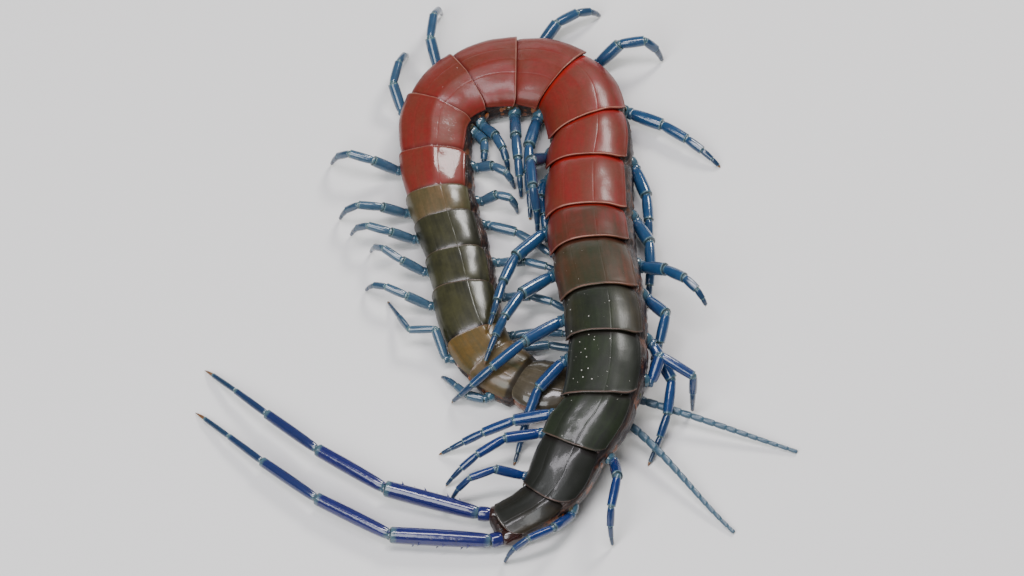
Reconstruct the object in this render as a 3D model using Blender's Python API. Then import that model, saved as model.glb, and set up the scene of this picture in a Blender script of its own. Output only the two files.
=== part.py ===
"""Giant centipede, life size, as a still model.

The trunk lies in a hairpin: it leaves the head, runs back along the left limb, turns at the top and
comes forward over the head along the right limb, so that the last plate and the two long rear legs
lie in front. Blender script, metres, +Z up, the floor at Z = 0 and the origin at the middle of the
model's outline on the floor.
"""

import math
from collections import namedtuple

import bmesh
import bpy
import numpy as np
from mathutils import Vector

MM = 0.001
UP = Vector((0.0, 0.0, 1.0))

# All places below are in millimetres east, north and up of a point under the middle of the hairpin.
# The finished model is moved by this much, so that the middle of its outline stands on the origin.
TO_ORIGIN = Vector((2.47, -0.32, 0.0))

# Where the neck stands.
NECK = (1.8, -18.8)

# Each back plate from the neck to the tail: its length and width in millimetres, the heading in
# degrees in which it runs away from the head, and how far its rear edge lifts the belly off the floor.
PLATES = (
    (6.2, 9.5, 148.0, 0.0),
    (4.8, 9.5, 119.0, 0.0),
    (8.8, 10.0, 101.0, 0.0),
    (6.3, 10.0, 98.0, 0.0),
    (6.6, 10.3, 106.0, 0.0),
    (4.8, 10.5, 103.0, 0.0),
    (7.2, 10.8, 96.0, 0.0),
    (8.8, 11.0, 89.0, 0.0),
    (6.6, 11.4, 46.0, 0.0),
    (7.8, 12.4, 11.0, 0.0),
    (7.4, 13.0, -12.0, 0.0),
    (9.5, 13.2, -72.0, 0.0),
    (8.0, 13.3, -94.0, 0.3),
    (10.4, 13.5, -90.0, 1.4),
    (7.6, 13.3, -85.0, 3.0),
    (10.0, 13.0, -81.0, 5.4),
    (8.0, 12.6, -86.0, 6.4),
    (9.8, 12.2, -94.0, 6.2),
    (7.6, 11.4, -122.0, 4.2),
    (8.5, 9.8, -112.0, 1.9),
    (6.8, 7.2, -156.0, 0.0),
)
PLATE_COUNT = len(PLATES)
PLATES_PER_LENGTH = 3
HEIGHT_TO_WIDTH = 0.57
COURSE_STEP = 0.05
PITCH_REACH = 2.5

# Rear edges that stand askew to the trunk's line, in degrees towards the animal's left.
SKEWS = {0: 0.0, 11: 0.0, 12: 18.0, 13: 6.0, 14: 0.0, 17: 0.0, 18: 18.0, 19: 0.0, 20: 8.0, 21: 0.0}

# Both limbs roll, their backs towards the picture's left: for each plate, how far the belly side
# stands to the animal's left of the back, as a share of the height between them.
LEANS = {0: 0.0, 2: 0.10, 3: 0.22, 8: 0.22, 11: 0.0, 13: -0.12, 18: -0.12, 20: 0.0, 21: 0.0}

# Half of the trunk's section from the middle of the back to the middle of the belly, as shares of
# its width and height. The first six points belong to the back plate, the next three to the soft side.
SECTION = (
    (0.0, 1.0),
    (0.13, 0.995),
    (0.25, 0.965),
    (0.37, 0.86),
    (0.46, 0.70),
    (0.50, 0.55),
    (0.465, 0.47),
    (0.455, 0.30),
    (0.40, 0.12),
    (0.30, 0.0),
    (0.0, 0.0),
)
PLATE_POINTS = 6
SOFT_POINTS = 3

# Rings along one plate: place from its front to its rear edge, depth of the plate's surface below
# the crest line, and depth of the soft side below its bulge, the last two in millimetres.
PLATE_RINGS = (
    (0.0, 0.50, 0.40),
    (0.28, 0.12, 0.0),
    (0.78, 0.0, 0.0),
    (1.0, -0.05, 0.40),
)
RIM_STEP = 0.12

# Behind the last plate the trunk closes in a blunt end: distance behind the rim, share of the section.
TAIL_RINGS = ((0.12, 0.90), (1.1, 0.80), (1.9, 0.50))
TAIL_MIDDLE = 0.5

GAP = 0.3

# Leg roots stand just before their plate's rear edge, low on the soft side, and lean towards the foot.
ROOT_MARGIN = 0.35
ROOT_LEAN = 0.45
ROOT_SIDE = 0.455
ROOT_HEIGHT = 0.30
ROOT_DEPTH = 0.9
ROOT_REACH = 0.9
ROOT_SWELL = 1.25
ROOT_WAIST = (0.35, 1.12)

# A walking leg: its length and thickness as shares of its plate's width, and its six lengths.
LEG_LENGTHS = {1: 1.25, 9: 1.35, 14: 1.5, 20: 1.55}
LEG_THICKNESS = 0.15
LEG_SIDES = 6
PODOMERES = (
    ("prefemur", 0.31, 1.00, 1.06),
    ("femur", 0.27, 0.86, 0.90),
    ("tibia", 0.18, 0.72, 0.70),
    ("tarsus_1", 0.12, 0.54, 0.48),
    ("tarsus_2", 0.08, 0.40, 0.34),
    ("claw", 0.04, 0.28, 0.24),
)
LEAST_RADIUS = 0.26
FOOT_DROP = 2.0
REAR_FOOT_DROP = 3.2
JOINT_STEP = 0.18
JOINT_STEP_LIMIT = 0.3
BEND_CLEARANCE = 0.8

# The arch of a leg: its first and last stretch as shares of the leg and of its reach over the floor,
# the share of the lift that its first stretch takes, its greatest lift, and how finely it is measured.
ARCH_FIRST = 0.30
ARCH_LAST = 0.18
ARCH_RISE = 0.7
ARCH_LIMIT = 1.5
ARCH_TRIES = 24
ARCH_STEPS = 60
LEVEL_LIMIT = 0.2

# A long rear leg: its root on the blunt end, and the same six lengths in other shares.
REAR_LEG_WIDTH = 2.5
REAR_ROOT_BEHIND = 0.4
REAR_ROOT_SIDE = 0.30
REAR_ROOT_HEIGHT = 0.50
REAR_ROOT_REACH = 2.2
REAR_ROOT_TURNS = {"left": 30.0, "right": 8.0}
REAR_SLACK = 1.03
REAR_PODOMERES = (
    ("prefemur", 0.29, 1.00, 1.04),
    ("femur", 0.24, 0.84, 0.86),
    ("tibia", 0.20, 0.66, 0.64),
    ("tarsus_1", 0.13, 0.48, 0.44),
    ("tarsus_2", 0.10, 0.36, 0.30),
    ("claw", 0.04, 0.26, 0.21),
)

# How a leg stands: its foot in millimetres east, north and up; how far it bows to the left of its own
# line and how long it is, as shares of its usual length; how strongly its root leans towards the foot;
# how far its root is moved tailwards, in millimetres; and its first knees where they are plain to see.
Stance = namedtuple(
    "Stance", "east north up bow share lean shift knees", defaults=(0.0, 0.0, 1.0, ROOT_LEAN, 0.0, ())
)
STANCES = {
    ("right", 1): Stance(-10.6, -16.3, share=0.62, shift=-1.8),
    ("right", 2): Stance(-18.7, -2.4, knees=((-11.5, -10.3, 4.0), (-15.4, -10.0, 3.4))),
    ("right", 3): Stance(-22.0, -0.6),
    ("right", 8): Stance(-15.8, 42.6),
    ("right", 10): Stance(13.4, 50.2, share=0.78, shift=4.0),
    ("right", 11): Stance(22.8, 41.8, share=0.82, shift=2.2),
    ("right", 12): Stance(31.5, 22.0, share=0.87, lean=2.0),
    ("right", 13): Stance(20.6, 4.4, share=0.84, lean=2.0),
    ("right", 14): Stance(20.4, -4.0, bow=0.02, share=0.78, lean=1.5),
    ("right", 15): Stance(29.1, -7.7, up=6.0, share=0.72, lean=2.0, shift=3.3),
    ("right", 16): Stance(20.6, -17.0, bow=0.06, share=0.84, lean=0.8),
    ("right", 17): Stance(20.2, -32.5, bow=0.07, share=1.04, lean=0.8),
    ("right", 18): Stance(26.9, -22.8, shift=-2.5, knees=((22.1, -19.7, 10.6), (27.0, -22.3, 9.0))),
    ("right", 19): Stance(15.0, -47.0, bow=-0.10),
    ("right", 20): Stance(-1.2, -50.0, lean=1.5),
    ("left", 1): Stance(13.8, -13.4),
    ("left", 2): Stance(12.6, -9.6),
    ("left", 3): Stance(9.8, -6.2),
    ("left", 4): Stance(9.2, 0.4),
    ("left", 5): Stance(8.0, 3.8),
    ("left", 6): Stance(0.9, 13.6, share=0.66),
    ("left", 7): Stance(0.4, 18.2, share=0.60),
    ("left", 8): Stance(-4.2, 22.2, share=0.42),
    ("left", 9): Stance(-0.5, 21.0, bow=0.03, share=0.64, shift=-1.5),
    ("left", 10): Stance(1.4, 16.2, bow=-0.01, share=0.92, shift=1.2),
    ("left", 11): Stance(2.7, 12.2, lean=0.9, shift=2.2),
    ("left", 12): Stance(3.8, 9.6, share=1.10, lean=0.6, shift=3.8),
    ("left", 13): Stance(5.1, 8.2, bow=0.07, share=0.54, lean=0.7, shift=2.2),
    ("left", 14): Stance(-3.6, -11.8, up=5.9, shift=2.2),
    ("left", 15): Stance(-4.2, -18.0, up=5.6, shift=3.6),
    ("left", 16): Stance(-9.2, -21.0, bow=0.13, share=1.15, shift=3.4),
    ("left", 17): Stance(0.2, -32.4, share=0.88, shift=3.0),
    ("left", 18): Stance(-11.0, -30.4, shift=3.6),
    ("left", 19): Stance(-10.0, -36.2, lean=0.8),
    ("left", 20): Stance(-9.3, -39.2, lean=0.8, shift=-2.0),
}
FREE_REACH = 0.80
FREE_SWING = 24.0
FREE_SWING_WAVE = 14.0
FREE_WAVE_LEGS = 5.0
FREE_BOW = 0.04

REAR_FEET = {"left": (-46.0, -15.0, 0.0, 0.04), "right": (-47.3, -22.7, 0.0, 0.05)}

SIDES = {"left": 1.0, "right": -1.0}

# The head: its own heading, and along it the width, top and underside of the capsule in millimetres.
HEAD_HEADING = -14.0
HEAD_TURN_LENGTH = 4.0
HEAD_STEPS = 40
HEAD_RINGS = (
    (0.15, 7.6, 4.7, 2.8),
    (1.4, 8.7, 5.1, 2.8),
    (4.0, 9.0, 5.2, 2.8),
    (6.2, 8.2, 5.0, 2.8),
    (7.8, 6.4, 4.7, 2.8),
    (8.9, 4.6, 4.4, 2.8),
)
HEAD_SECTION = ((0.0, 1.0), (0.20, 0.98), (0.36, 0.82), (0.47, 0.50), (0.50, 0.20), (0.46, 0.0), (0.0, 0.0))

# The broad plate under the head that carries the poison claws, in the same terms.
UNDER_RINGS = ((0.15, 7.0, 3.2, 0.2), (1.2, 7.8, 3.2, 0.0), (3.0, 7.4, 3.2, 0.0))
UNDER_SECTION = ((0.0, 1.0), (0.44, 1.0), (0.50, 0.75), (0.50, 0.25), (0.42, 0.0), (0.0, 0.0))

# A poison claw from its flat root round to its tip: forward, outward, height and radius.
CLAW_POINTS = (
    (3.3, 2.35, 1.25, 1.10),
    (4.6, 2.95, 1.25, 1.12),
    (6.1, 3.15, 1.30, 0.98),
    (7.5, 2.55, 1.35, 0.76),
    (8.5, 1.50, 1.30, 0.50),
    (9.0, 0.55, 1.20, 0.26),
)
CLAW_SIDES = 8

# An antenna: where it leaves the face, where its tip lies, and its radius at root and tip.
FACE = 8.9
ANTENNA_SIDE = 1.35
ANTENNA_HEIGHT = 3.6
ANTENNA_TIPS = {"left": (42.5, -30.0, 0.30), "right": (33.0, -44.5, 0.30)}
ANTENNA_RADII = (0.74, 0.27)
ANTENNA_STEPS = 14
ANTENNA_REACH = 0.3
ANTENNA_LIFT = 1.2

# Colour and roughness of each region, from the photo.
FINISHES = {
    "shell_olive": ((0.114, 0.091, 0.032), 0.22),
    "shell_red": ((0.262, 0.042, 0.026), 0.22),
    "shell_dark": ((0.021, 0.023, 0.018), 0.18),
    "head_shell": ((0.127, 0.107, 0.070), 0.25),
    "poison_claw": ((0.156, 0.026, 0.013), 0.25),
    "antenna_blue": ((0.061, 0.127, 0.205), 0.30),
    "leg_blue": ((0.070, 0.156, 0.305), 0.25),
    "rear_leg_blue": ((0.045, 0.061, 0.188), 0.22),
}
TRUNK_FINISHES = {
    1: "shell_olive",
    4: "shell_olive",
    7: "shell_red",
    10: "shell_red",
    13: "shell_red",
    16: "shell_dark",
    19: "shell_dark",
}


def smooth_course():
    """The trunk's line on the floor in small steps: the heading turns evenly from plate to plate."""
    lengths = np.array([plate[0] for plate in PLATES])
    edges = np.concatenate([[0.0], np.cumsum(lengths)])
    middles = edges[:-1] + lengths / 2
    along = np.arange(0.0, edges[-1] + TAIL_RINGS[-1][0] + COURSE_STEP, COURSE_STEP)
    headings = np.radians(np.interp(along, middles, [plate[2] for plate in PLATES]))
    lifts = np.interp(along, edges, [0.0] + [plate[3] for plate in PLATES])
    slopes = (np.interp(along + PITCH_REACH, along, lifts) - np.interp(along - PITCH_REACH, along, lifts)) / (
        2 * PITCH_REACH
    )
    east = NECK[0] + np.concatenate([[0.0], np.cumsum(np.cos(headings[:-1]) * COURSE_STEP)])
    north = NECK[1] + np.concatenate([[0.0], np.cumsum(np.sin(headings[:-1]) * COURSE_STEP)])
    return edges, along, headings, lifts, slopes, east, north


EDGES, ALONG, HEADINGS, LIFTS, SLOPES, EAST, NORTH = smooth_course()


def between_edges(along, values):
    """A value at a distance from the neck, from a table that gives it at some plates' rear edges."""
    return float(np.interp(along, [EDGES[plate] for plate in values], list(values.values())))


def stand(along):
    """The trunk's frame at a distance from the neck: belly point, tailwards, left and upward axes."""
    heading, slope = (float(np.interp(along, ALONG, values)) for values in (HEADINGS, SLOPES))
    heading += math.radians(between_edges(along, SKEWS))
    base = Vector([float(np.interp(along, ALONG, values)) for values in (EAST, NORTH, LIFTS)])
    left = Vector((math.sin(heading), -math.cos(heading), 0.0))
    tailwards = Vector((math.cos(heading), math.sin(heading), slope)).normalized()
    return base, tailwards, left, left.cross(tailwards).normalized()


def width_at(along):
    middles = (EDGES[:-1] + EDGES[1:]) / 2
    return float(np.interp(along, middles, [plate[1] for plate in PLATES]))


def on_trunk(along, side, height):
    """A point at a distance from the neck, at shares of the width to the left and of the height."""
    base, _, left, upward = stand(along)
    width = width_at(along)
    tall = width * HEIGHT_TO_WIDTH
    shift = between_edges(along, LEANS) * (1.0 - height) * tall
    return base + left * (side * width + shift) + upward * (height * tall)


def trunk_ring(along, plate_depth, soft_depth, share=1.0):
    """One closed ring round the trunk, from the middle of the back down its left side and round."""
    base, _, left, upward = stand(along)
    width = width_at(along)
    tall = width * HEIGHT_TO_WIDTH
    lean = between_edges(along, LEANS)
    half = []
    for index, (side, height) in enumerate(SECTION):
        across = side * width
        high = height * tall
        if index < PLATE_POINTS:
            across -= plate_depth * side
            high -= plate_depth * height
        elif index < PLATE_POINTS + SOFT_POINTS:
            across -= soft_depth
        half.append((across, high))
    ring = half + [(-across, high) for across, high in reversed(half[1:-1])]
    middle = tall * TAIL_MIDDLE
    return [
        base + left * ((across + lean * (tall - high)) * share) + upward * (middle + (high - middle) * share)
        for across, high in ring
    ]


def add_rings(mesh, rings):
    """A closed body through rings of equal count, with flat ends."""
    made = [[mesh.verts.new((point + TO_ORIGIN) * MM) for point in ring] for ring in rings]
    count = len(made[0])
    for low, high in zip(made, made[1:]):
        for index in range(count):
            after = (index + 1) % count
            mesh.faces.new((low[index], low[after], high[after], high[index]))
    mesh.faces.new(list(reversed(made[0])))
    mesh.faces.new(made[-1])
    bmesh.ops.recalc_face_normals(mesh, faces=mesh.faces[:])


def mesh_object(name, rings):
    mesh = bmesh.new()
    add_rings(mesh, rings)
    data = bpy.data.meshes.new(name)
    mesh.to_mesh(data)
    mesh.free()
    piece = bpy.data.objects.new(name, data)
    bpy.context.scene.collection.objects.link(piece)
    return piece


def finish(piece, name):
    """Give a piece the glossy cuticle of its region."""
    made = bpy.data.materials.get(name)
    if made is None:
        colour, roughness = FINISHES[name]
        made = bpy.data.materials.new(name)
        made.use_nodes = True
        shader = made.node_tree.nodes["Principled BSDF"]
        shader.inputs["Base Color"].default_value = (*colour, 1.0)
        shader.inputs["Roughness"].default_value = roughness
        shader.inputs["Metallic"].default_value = 0.0
    piece.data.materials.append(made)


def round_ring(centre, axis, radius, sides):
    """A ring of points round an axis, with one point pair level so that rings join without twist."""
    axis = axis.normalized()
    level = axis.cross(UP)
    if level.length < LEVEL_LIMIT:
        level = Vector((1.0, 0.0, 0.0))
    level.normalize()
    rise = level.cross(axis).normalized()
    ring = []
    for index in range(sides):
        turn = 2 * math.pi * (index + 0.5) / sides
        ring.append(centre + level * (radius * math.cos(turn)) + rise * (radius * math.sin(turn)))
    return ring


def carried_ring(ring, centre, axis, place, new_axis, radius):
    """The ring before, turned from its axis to the next one and set to a radius, so that no side twists."""
    turn = axis.rotation_difference(new_axis)
    return [place + (turn @ (point - centre)).normalized() * radius for point in ring]


def curve(start, first, second, end, steps):
    """Points along the smooth curve that leaves start towards first and reaches end from second."""
    points = []
    for index in range(steps + 1):
        t = index / steps
        u = 1.0 - t
        points.append(start * u**3 + first * (3 * t * u * u) + second * (3 * t * t * u) + end * t**3)
    return points


def bent_line(start, outward, foot, length, bow, drop=FOOT_DROP):
    """A leg's line from its root to its foot: an arch just high enough to be as long as the leg."""
    flat = Vector((foot.x - start.x, foot.y - start.y, 0.0))
    sideways = Vector((-flat.y, flat.x, 0.0)).normalized() * (bow * length)

    def arch(lift):
        first = start + outward * (ARCH_FIRST * length) + UP * (ARCH_RISE * lift) + sideways
        second = foot - flat * ARCH_LAST + UP * (drop + lift) + sideways
        return curve(start, first, second, foot, ARCH_STEPS)

    low, high = 0.0, ARCH_LIMIT * length
    for _ in range(ARCH_TRIES):
        middle = (low + high) / 2
        points = arch(middle)
        if sum((b - a).length for a, b in zip(points, points[1:])) < length:
            low = middle
        else:
            high = middle
    return arch((low + high) / 2)


def places_on(line, shares):
    """Points at shares of a line's length."""
    steps = [0.0]
    for a, b in zip(line, line[1:]):
        steps.append(steps[-1] + (b - a).length)
    found = []
    for share in shares:
        found.append(
            Vector([float(np.interp(share * steps[-1], steps, [point[axis] for point in line])) for axis in range(3)])
        )
    return found


def leg_joints(line, podomeres):
    """The joints of a leg along its line, from the first one at the trunk to the tip of the claw."""
    shares = [0.0]
    for _, share, _, _ in podomeres:
        shares.append(shares[-1] + share)
    return places_on(line, [share / shares[-1] for share in shares])


def kneed_joints(start, knees, foot, podomeres):
    """The joints of a leg whose first knees are given; the lengths after them share the way to the foot."""
    return [start, *knees[:-1], *leg_joints([knees[-1], foot], podomeres[len(knees):])]


def leg_rings(joints, outward, podomeres, thickness):
    """Rings of one jointed leg: each length widens to its far end and steps down to the next one."""
    axes = [outward] + [(end - start).normalized() for start, end in zip(joints, joints[1:])]
    centre = joints[0]
    axis = outward
    rings = [round_ring(centre, axis, thickness / 2, LEG_SIDES)]
    for index, (_, _, near, far) in enumerate(podomeres):
        start, end = joints[index], joints[index + 1]
        new_axis = axes[index + 1]
        after = axes[min(index + 2, len(podomeres))]
        near_radius = max(thickness / 2 * near, LEAST_RADIUS)
        far_radius = max(thickness / 2 * far, LEAST_RADIUS)
        reach = (end - start).length
        near_step = joint_step(axis, new_axis, near_radius, reach)
        far_step = joint_step(new_axis, after, far_radius, reach)
        places = [(start + new_axis * near_step, near_radius), (end - new_axis * far_step, far_radius)]
        for place, radius in places[1:] if index == 0 else places:
            rings.append(carried_ring(rings[-1], centre, axis, place, new_axis, radius))
            centre, axis = place, new_axis
    rings[-1] = foot_ring(rings[-2], joints[-2], joints[-1])
    return rings


def joint_step(axis, new_axis, radius, reach):
    """How far a length's ring stands off a joint, so that rings on both sides of a bend stay apart."""
    bend = axis.angle(new_axis) / 2
    return min(JOINT_STEP + BEND_CLEARANCE * radius * math.tan(bend), JOINT_STEP_LIMIT * reach)


def foot_ring(ring, joint, tip):
    """The small flat under a claw: the claw's ring slid along the claw to the height of its tip."""
    slide = tip - joint
    flat = []
    for point in ring:
        landed = point + slide * ((tip.z - point.z) / slide.z)
        flat.append(tip + (landed - tip).normalized() * LEAST_RADIUS)
    return flat


def clear_scene():
    for item in list(bpy.data.objects):
        bpy.data.objects.remove(item, do_unlink=True)


def leg_radius(plate):
    return LEG_THICKNESS * PLATES[plate - 1][1] / 2


def leg_length(plate):
    share = float(np.interp(plate, list(LEG_LENGTHS), list(LEG_LENGTHS.values())))
    return share * PLATES[plate - 1][1]


def leg_stance(plate, side):
    """Where a walking leg leaves the trunk, along and around it, the way out of it, and its stance."""
    stance = STANCES.get((side, plate))
    along = EDGES[plate] - ROOT_MARGIN - ROOT_SWELL * leg_radius(plate) + (stance.shift if stance else 0.0)
    _, tailwards, left, _ = stand(along)
    root = on_trunk(along, SIDES[side] * ROOT_SIDE, ROOT_HEIGHT)
    away = left * SIDES[side]
    stance = stance or free_stance(plate, side, root, away, tailwards)
    towards = (Vector((stance.east, stance.north, stance.up)) - root).normalized()
    return along, root, (away + towards * stance.lean).normalized(), stance


def free_stance(plate, side, root, away, tailwards):
    """A leg that nothing crowds: outwards and swung back, in a wave along the body."""
    wave = math.sin(2 * math.pi * plate / FREE_WAVE_LEGS + (0.0 if side == "left" else math.pi))
    swing = math.radians(FREE_SWING + FREE_SWING_WAVE * wave)
    reach = FREE_REACH * leg_length(plate)
    flat = away * math.cos(swing) + tailwards * math.sin(swing)
    foot = root + Vector((flat.x, flat.y, 0.0)).normalized() * reach
    return Stance(foot.x, foot.y, bow=-FREE_BOW * SIDES[side])


def root_rings(root, outward, radius, reach=ROOT_REACH):
    """A short stout cone from inside the trunk to a flat end that the leg stands on."""
    spans = ((-ROOT_DEPTH, ROOT_SWELL), (reach * ROOT_WAIST[0], ROOT_WAIST[1]), (reach, 1.0))
    return [round_ring(root + outward * span, outward, radius * share, LEG_SIDES) for span, share in spans]


def walking_leg(plate, side):
    _, root, outward, stance = leg_stance(plate, side)
    start = root + outward * (ROOT_REACH + GAP)
    foot = Vector((stance.east, stance.north, stance.up))
    if stance.knees:
        joints = kneed_joints(start, [Vector(knee) for knee in stance.knees], foot, PODOMERES)
    else:
        line = bent_line(start, outward, foot, leg_length(plate) * stance.share, stance.bow)
        joints = leg_joints(line, PODOMERES)
    rings = leg_rings(joints, outward, PODOMERES, 2 * leg_radius(plate))
    return mesh_object(f"leg_{plate:02d}_{side}", rings)


def trunk_length(first, last):
    """Three plates with their soft sides and leg roots as one body, parted from its neighbours by a gap."""
    rings = []
    for plate in range(first, last + 1):
        start, end = EDGES[plate - 1], EDGES[plate]
        for share, plate_depth, soft_depth in PLATE_RINGS:
            along = start + share * (end - start)
            if share == 0.0:
                along += GAP / 2 if plate == first else RIM_STEP
            if share == 1.0 and plate == last:
                along -= GAP / 2
            rings.append(trunk_ring(along, plate_depth, soft_depth))
    if last == PLATE_COUNT:
        rings += [trunk_ring(EDGES[-1] + behind, 0.0, 0.0, share) for behind, share in TAIL_RINGS]
    trunk = mesh_object(f"trunk_{first:02d}_{last:02d}", rings)
    roots = bpy.data.collections.new(f"roots_{first:02d}")
    bpy.context.scene.collection.children.link(roots)
    for plate in range(1, PLATE_COUNT):
        for side in SIDES:
            along, root, outward, _ = leg_stance(plate, side)
            if EDGES[first - 1] < along < EDGES[last]:
                cone = mesh_object("root", root_rings(root, outward, leg_radius(plate)))
                bpy.context.scene.collection.objects.unlink(cone)
                roots.objects.link(cone)
    if last == PLATE_COUNT:
        for side in SIDES:
            root, outward = rear_root(side)
            cone = mesh_object("root", root_rings(root, outward, REAR_LEG_WIDTH / 2, REAR_ROOT_REACH))
            bpy.context.scene.collection.objects.unlink(cone)
            roots.objects.link(cone)
    join_roots(trunk, roots)
    return trunk


def join_roots(body, roots):
    union = body.modifiers.new("roots", "BOOLEAN")
    union.operation = "UNION"
    union.operand_type = "COLLECTION"
    union.collection = roots
    union.solver = "EXACT"
    bpy.context.view_layer.objects.active = body
    bpy.ops.object.modifier_apply(modifier=union.name)
    for root in list(roots.objects):
        bpy.data.objects.remove(root, do_unlink=True)
    bpy.data.collections.remove(roots)


def rear_root(side):
    """Where a long rear leg leaves the blunt end, and the way out of it, both swung to the left."""
    along = EDGES[-1] + REAR_ROOT_BEHIND
    _, tailwards, left, _ = stand(along)
    turn = math.radians(REAR_ROOT_TURNS[side])
    root = on_trunk(along, SIDES[side] * REAR_ROOT_SIDE, REAR_ROOT_HEIGHT)
    outward = tailwards * math.cos(turn) + left * math.sin(turn)
    return root, Vector((outward.x, outward.y, 0.0)).normalized()


def rear_leg(side):
    root, outward = rear_root(side)
    start = root + outward * (REAR_ROOT_REACH + GAP)
    east, north, up, bow = REAR_FEET[side]
    foot = Vector((east, north, up))
    line = bent_line(start, outward, foot, (foot - start).length * REAR_SLACK, bow, REAR_FOOT_DROP)
    rings = leg_rings(leg_joints(line, REAR_PODOMERES), outward, REAR_PODOMERES, REAR_LEG_WIDTH)
    return mesh_object(f"leg_{PLATE_COUNT}_{side}", rings)


def head_forward(forward):
    """The head's way forward at a distance from the neck: it turns from the trunk's line to its own."""
    neck_heading = math.degrees(HEADINGS[0]) - 180.0
    turned = min(forward / HEAD_TURN_LENGTH, 1.0)
    heading = math.radians(neck_heading + (HEAD_HEADING - neck_heading) * turned)
    return Vector((math.cos(heading), math.sin(heading), 0.0))


def on_head(forward, outward, high):
    """A point of the head: forward from the neck, to the left of its line, and up from the floor."""
    place = Vector((NECK[0], NECK[1], 0.0))
    for index in range(HEAD_STEPS):
        place += head_forward(forward * (index + 0.5) / HEAD_STEPS) * (forward / HEAD_STEPS)
    return place + UP.cross(head_forward(forward)) * outward + UP * high


def head_rings(rings, section):
    made = []
    for forward, width, top, under in rings:
        half = [(side * width, under + height * (top - under)) for side, height in section]
        outline = half + [(-across, high) for across, high in reversed(half[1:-1])]
        made.append([on_head(forward, across, high) for across, high in outline])
    return made


def head():
    capsule = mesh_object("head", head_rings(HEAD_RINGS, HEAD_SECTION))
    parts = bpy.data.collections.new("under_head")
    bpy.context.scene.collection.children.link(parts)
    under = mesh_object("under", head_rings(UNDER_RINGS, UNDER_SECTION))
    bpy.context.scene.collection.objects.unlink(under)
    parts.objects.link(under)
    join_roots(capsule, parts)
    return capsule


def tube_rings(points, radii, first_axis, sides):
    """Rings round a line of points, each square to the line, the first one square to its own axis."""
    rings = [round_ring(points[0], first_axis, radii[0], sides)]
    axis = first_axis.normalized()
    centre = points[0]
    for index in range(1, len(points)):
        after = points[min(index + 1, len(points) - 1)]
        new_axis = (after - points[index - 1]).normalized()
        rings.append(carried_ring(rings[-1], centre, axis, points[index], new_axis, radii[index]))
        centre, axis = points[index], new_axis
    return rings


def poison_claw(side):
    points = [on_head(forward, SIDES[side] * outward, high) for forward, outward, high, _ in CLAW_POINTS]
    radii = [point[3] for point in CLAW_POINTS]
    rings = tube_rings(points, radii, head_forward(CLAW_POINTS[0][0]), CLAW_SIDES)
    return mesh_object(f"forcipule_{side}", rings)


def antenna(side):
    start = on_head(FACE + GAP, SIDES[side] * ANTENNA_SIDE, ANTENNA_HEIGHT)
    forward = head_forward(FACE)
    tip = Vector(ANTENNA_TIPS[side])
    first = start + forward * ((tip - start).length * ANTENNA_REACH)
    second = tip + (start - tip) * ANTENNA_REACH
    second.z = tip.z + ANTENNA_LIFT
    points = curve(start, first, second, tip, ANTENNA_STEPS)
    radii = np.linspace(*ANTENNA_RADII, len(points))
    return mesh_object(f"antenna_{side}", tube_rings(points, radii, forward, LEG_SIDES))


def main():
    clear_scene()
    for first, name in TRUNK_FINISHES.items():
        finish(trunk_length(first, first + PLATES_PER_LENGTH - 1), name)
    for plate in range(1, PLATE_COUNT):
        for side in SIDES:
            finish(walking_leg(plate, side), "leg_blue")
    finish(head(), "head_shell")
    for side in SIDES:
        finish(rear_leg(side), "rear_leg_blue")
        finish(poison_claw(side), "poison_claw")
        finish(antenna(side), "antenna_blue")


main()
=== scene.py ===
"""Looks of a still, life-size giant centipede, laid out as an add-on and run as a script.

The trunk lies in a hairpin. A soft skin runs its whole length, with hard back and belly plates on it,
jointed legs on its sides, and the head with feelers, eyes and poison claws at its front.
"""

import math
from collections import namedtuple
from functools import lru_cache

import bmesh
import bpy
import numpy as np
from bpy.props import FloatProperty, FloatVectorProperty, IntProperty, PointerProperty
from mathutils import Matrix, Vector, noise


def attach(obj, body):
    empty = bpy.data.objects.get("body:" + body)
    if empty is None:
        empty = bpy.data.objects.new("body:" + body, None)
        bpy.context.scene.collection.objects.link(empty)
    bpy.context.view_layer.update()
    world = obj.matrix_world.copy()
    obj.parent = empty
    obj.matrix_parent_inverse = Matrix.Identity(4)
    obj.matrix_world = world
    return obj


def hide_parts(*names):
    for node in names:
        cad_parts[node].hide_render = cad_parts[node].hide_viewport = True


bl_info = {
    "name": "Giant centipede",
    "version": (1, 0, 0),
    "blender": (4, 5, 0),
    "location": "View3D > Sidebar > Centipede",
    "description": "Builds a still giant centipede: plates, soft sides, jointed legs, feelers and head",
    "category": "Add Mesh",
}

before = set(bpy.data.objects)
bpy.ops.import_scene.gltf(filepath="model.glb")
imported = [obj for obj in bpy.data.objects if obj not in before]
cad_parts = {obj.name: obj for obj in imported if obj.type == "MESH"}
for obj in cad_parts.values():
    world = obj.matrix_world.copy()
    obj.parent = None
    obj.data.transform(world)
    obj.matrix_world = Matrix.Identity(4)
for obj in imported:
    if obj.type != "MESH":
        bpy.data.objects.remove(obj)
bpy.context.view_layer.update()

MM = 0.001
UP = Vector((0.0, 0.0, 1.0))
BLACK = (0.0, 0.0, 0.0)

# Places are in millimetres east, north and up of a point under the middle of the hairpin, and the finished
# model is moved by this much, so that the middle of its outline stands on the origin.
TO_ORIGIN = Vector((2.47, -0.32, 0.0))
NECK = (1.8, -18.8)

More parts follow.
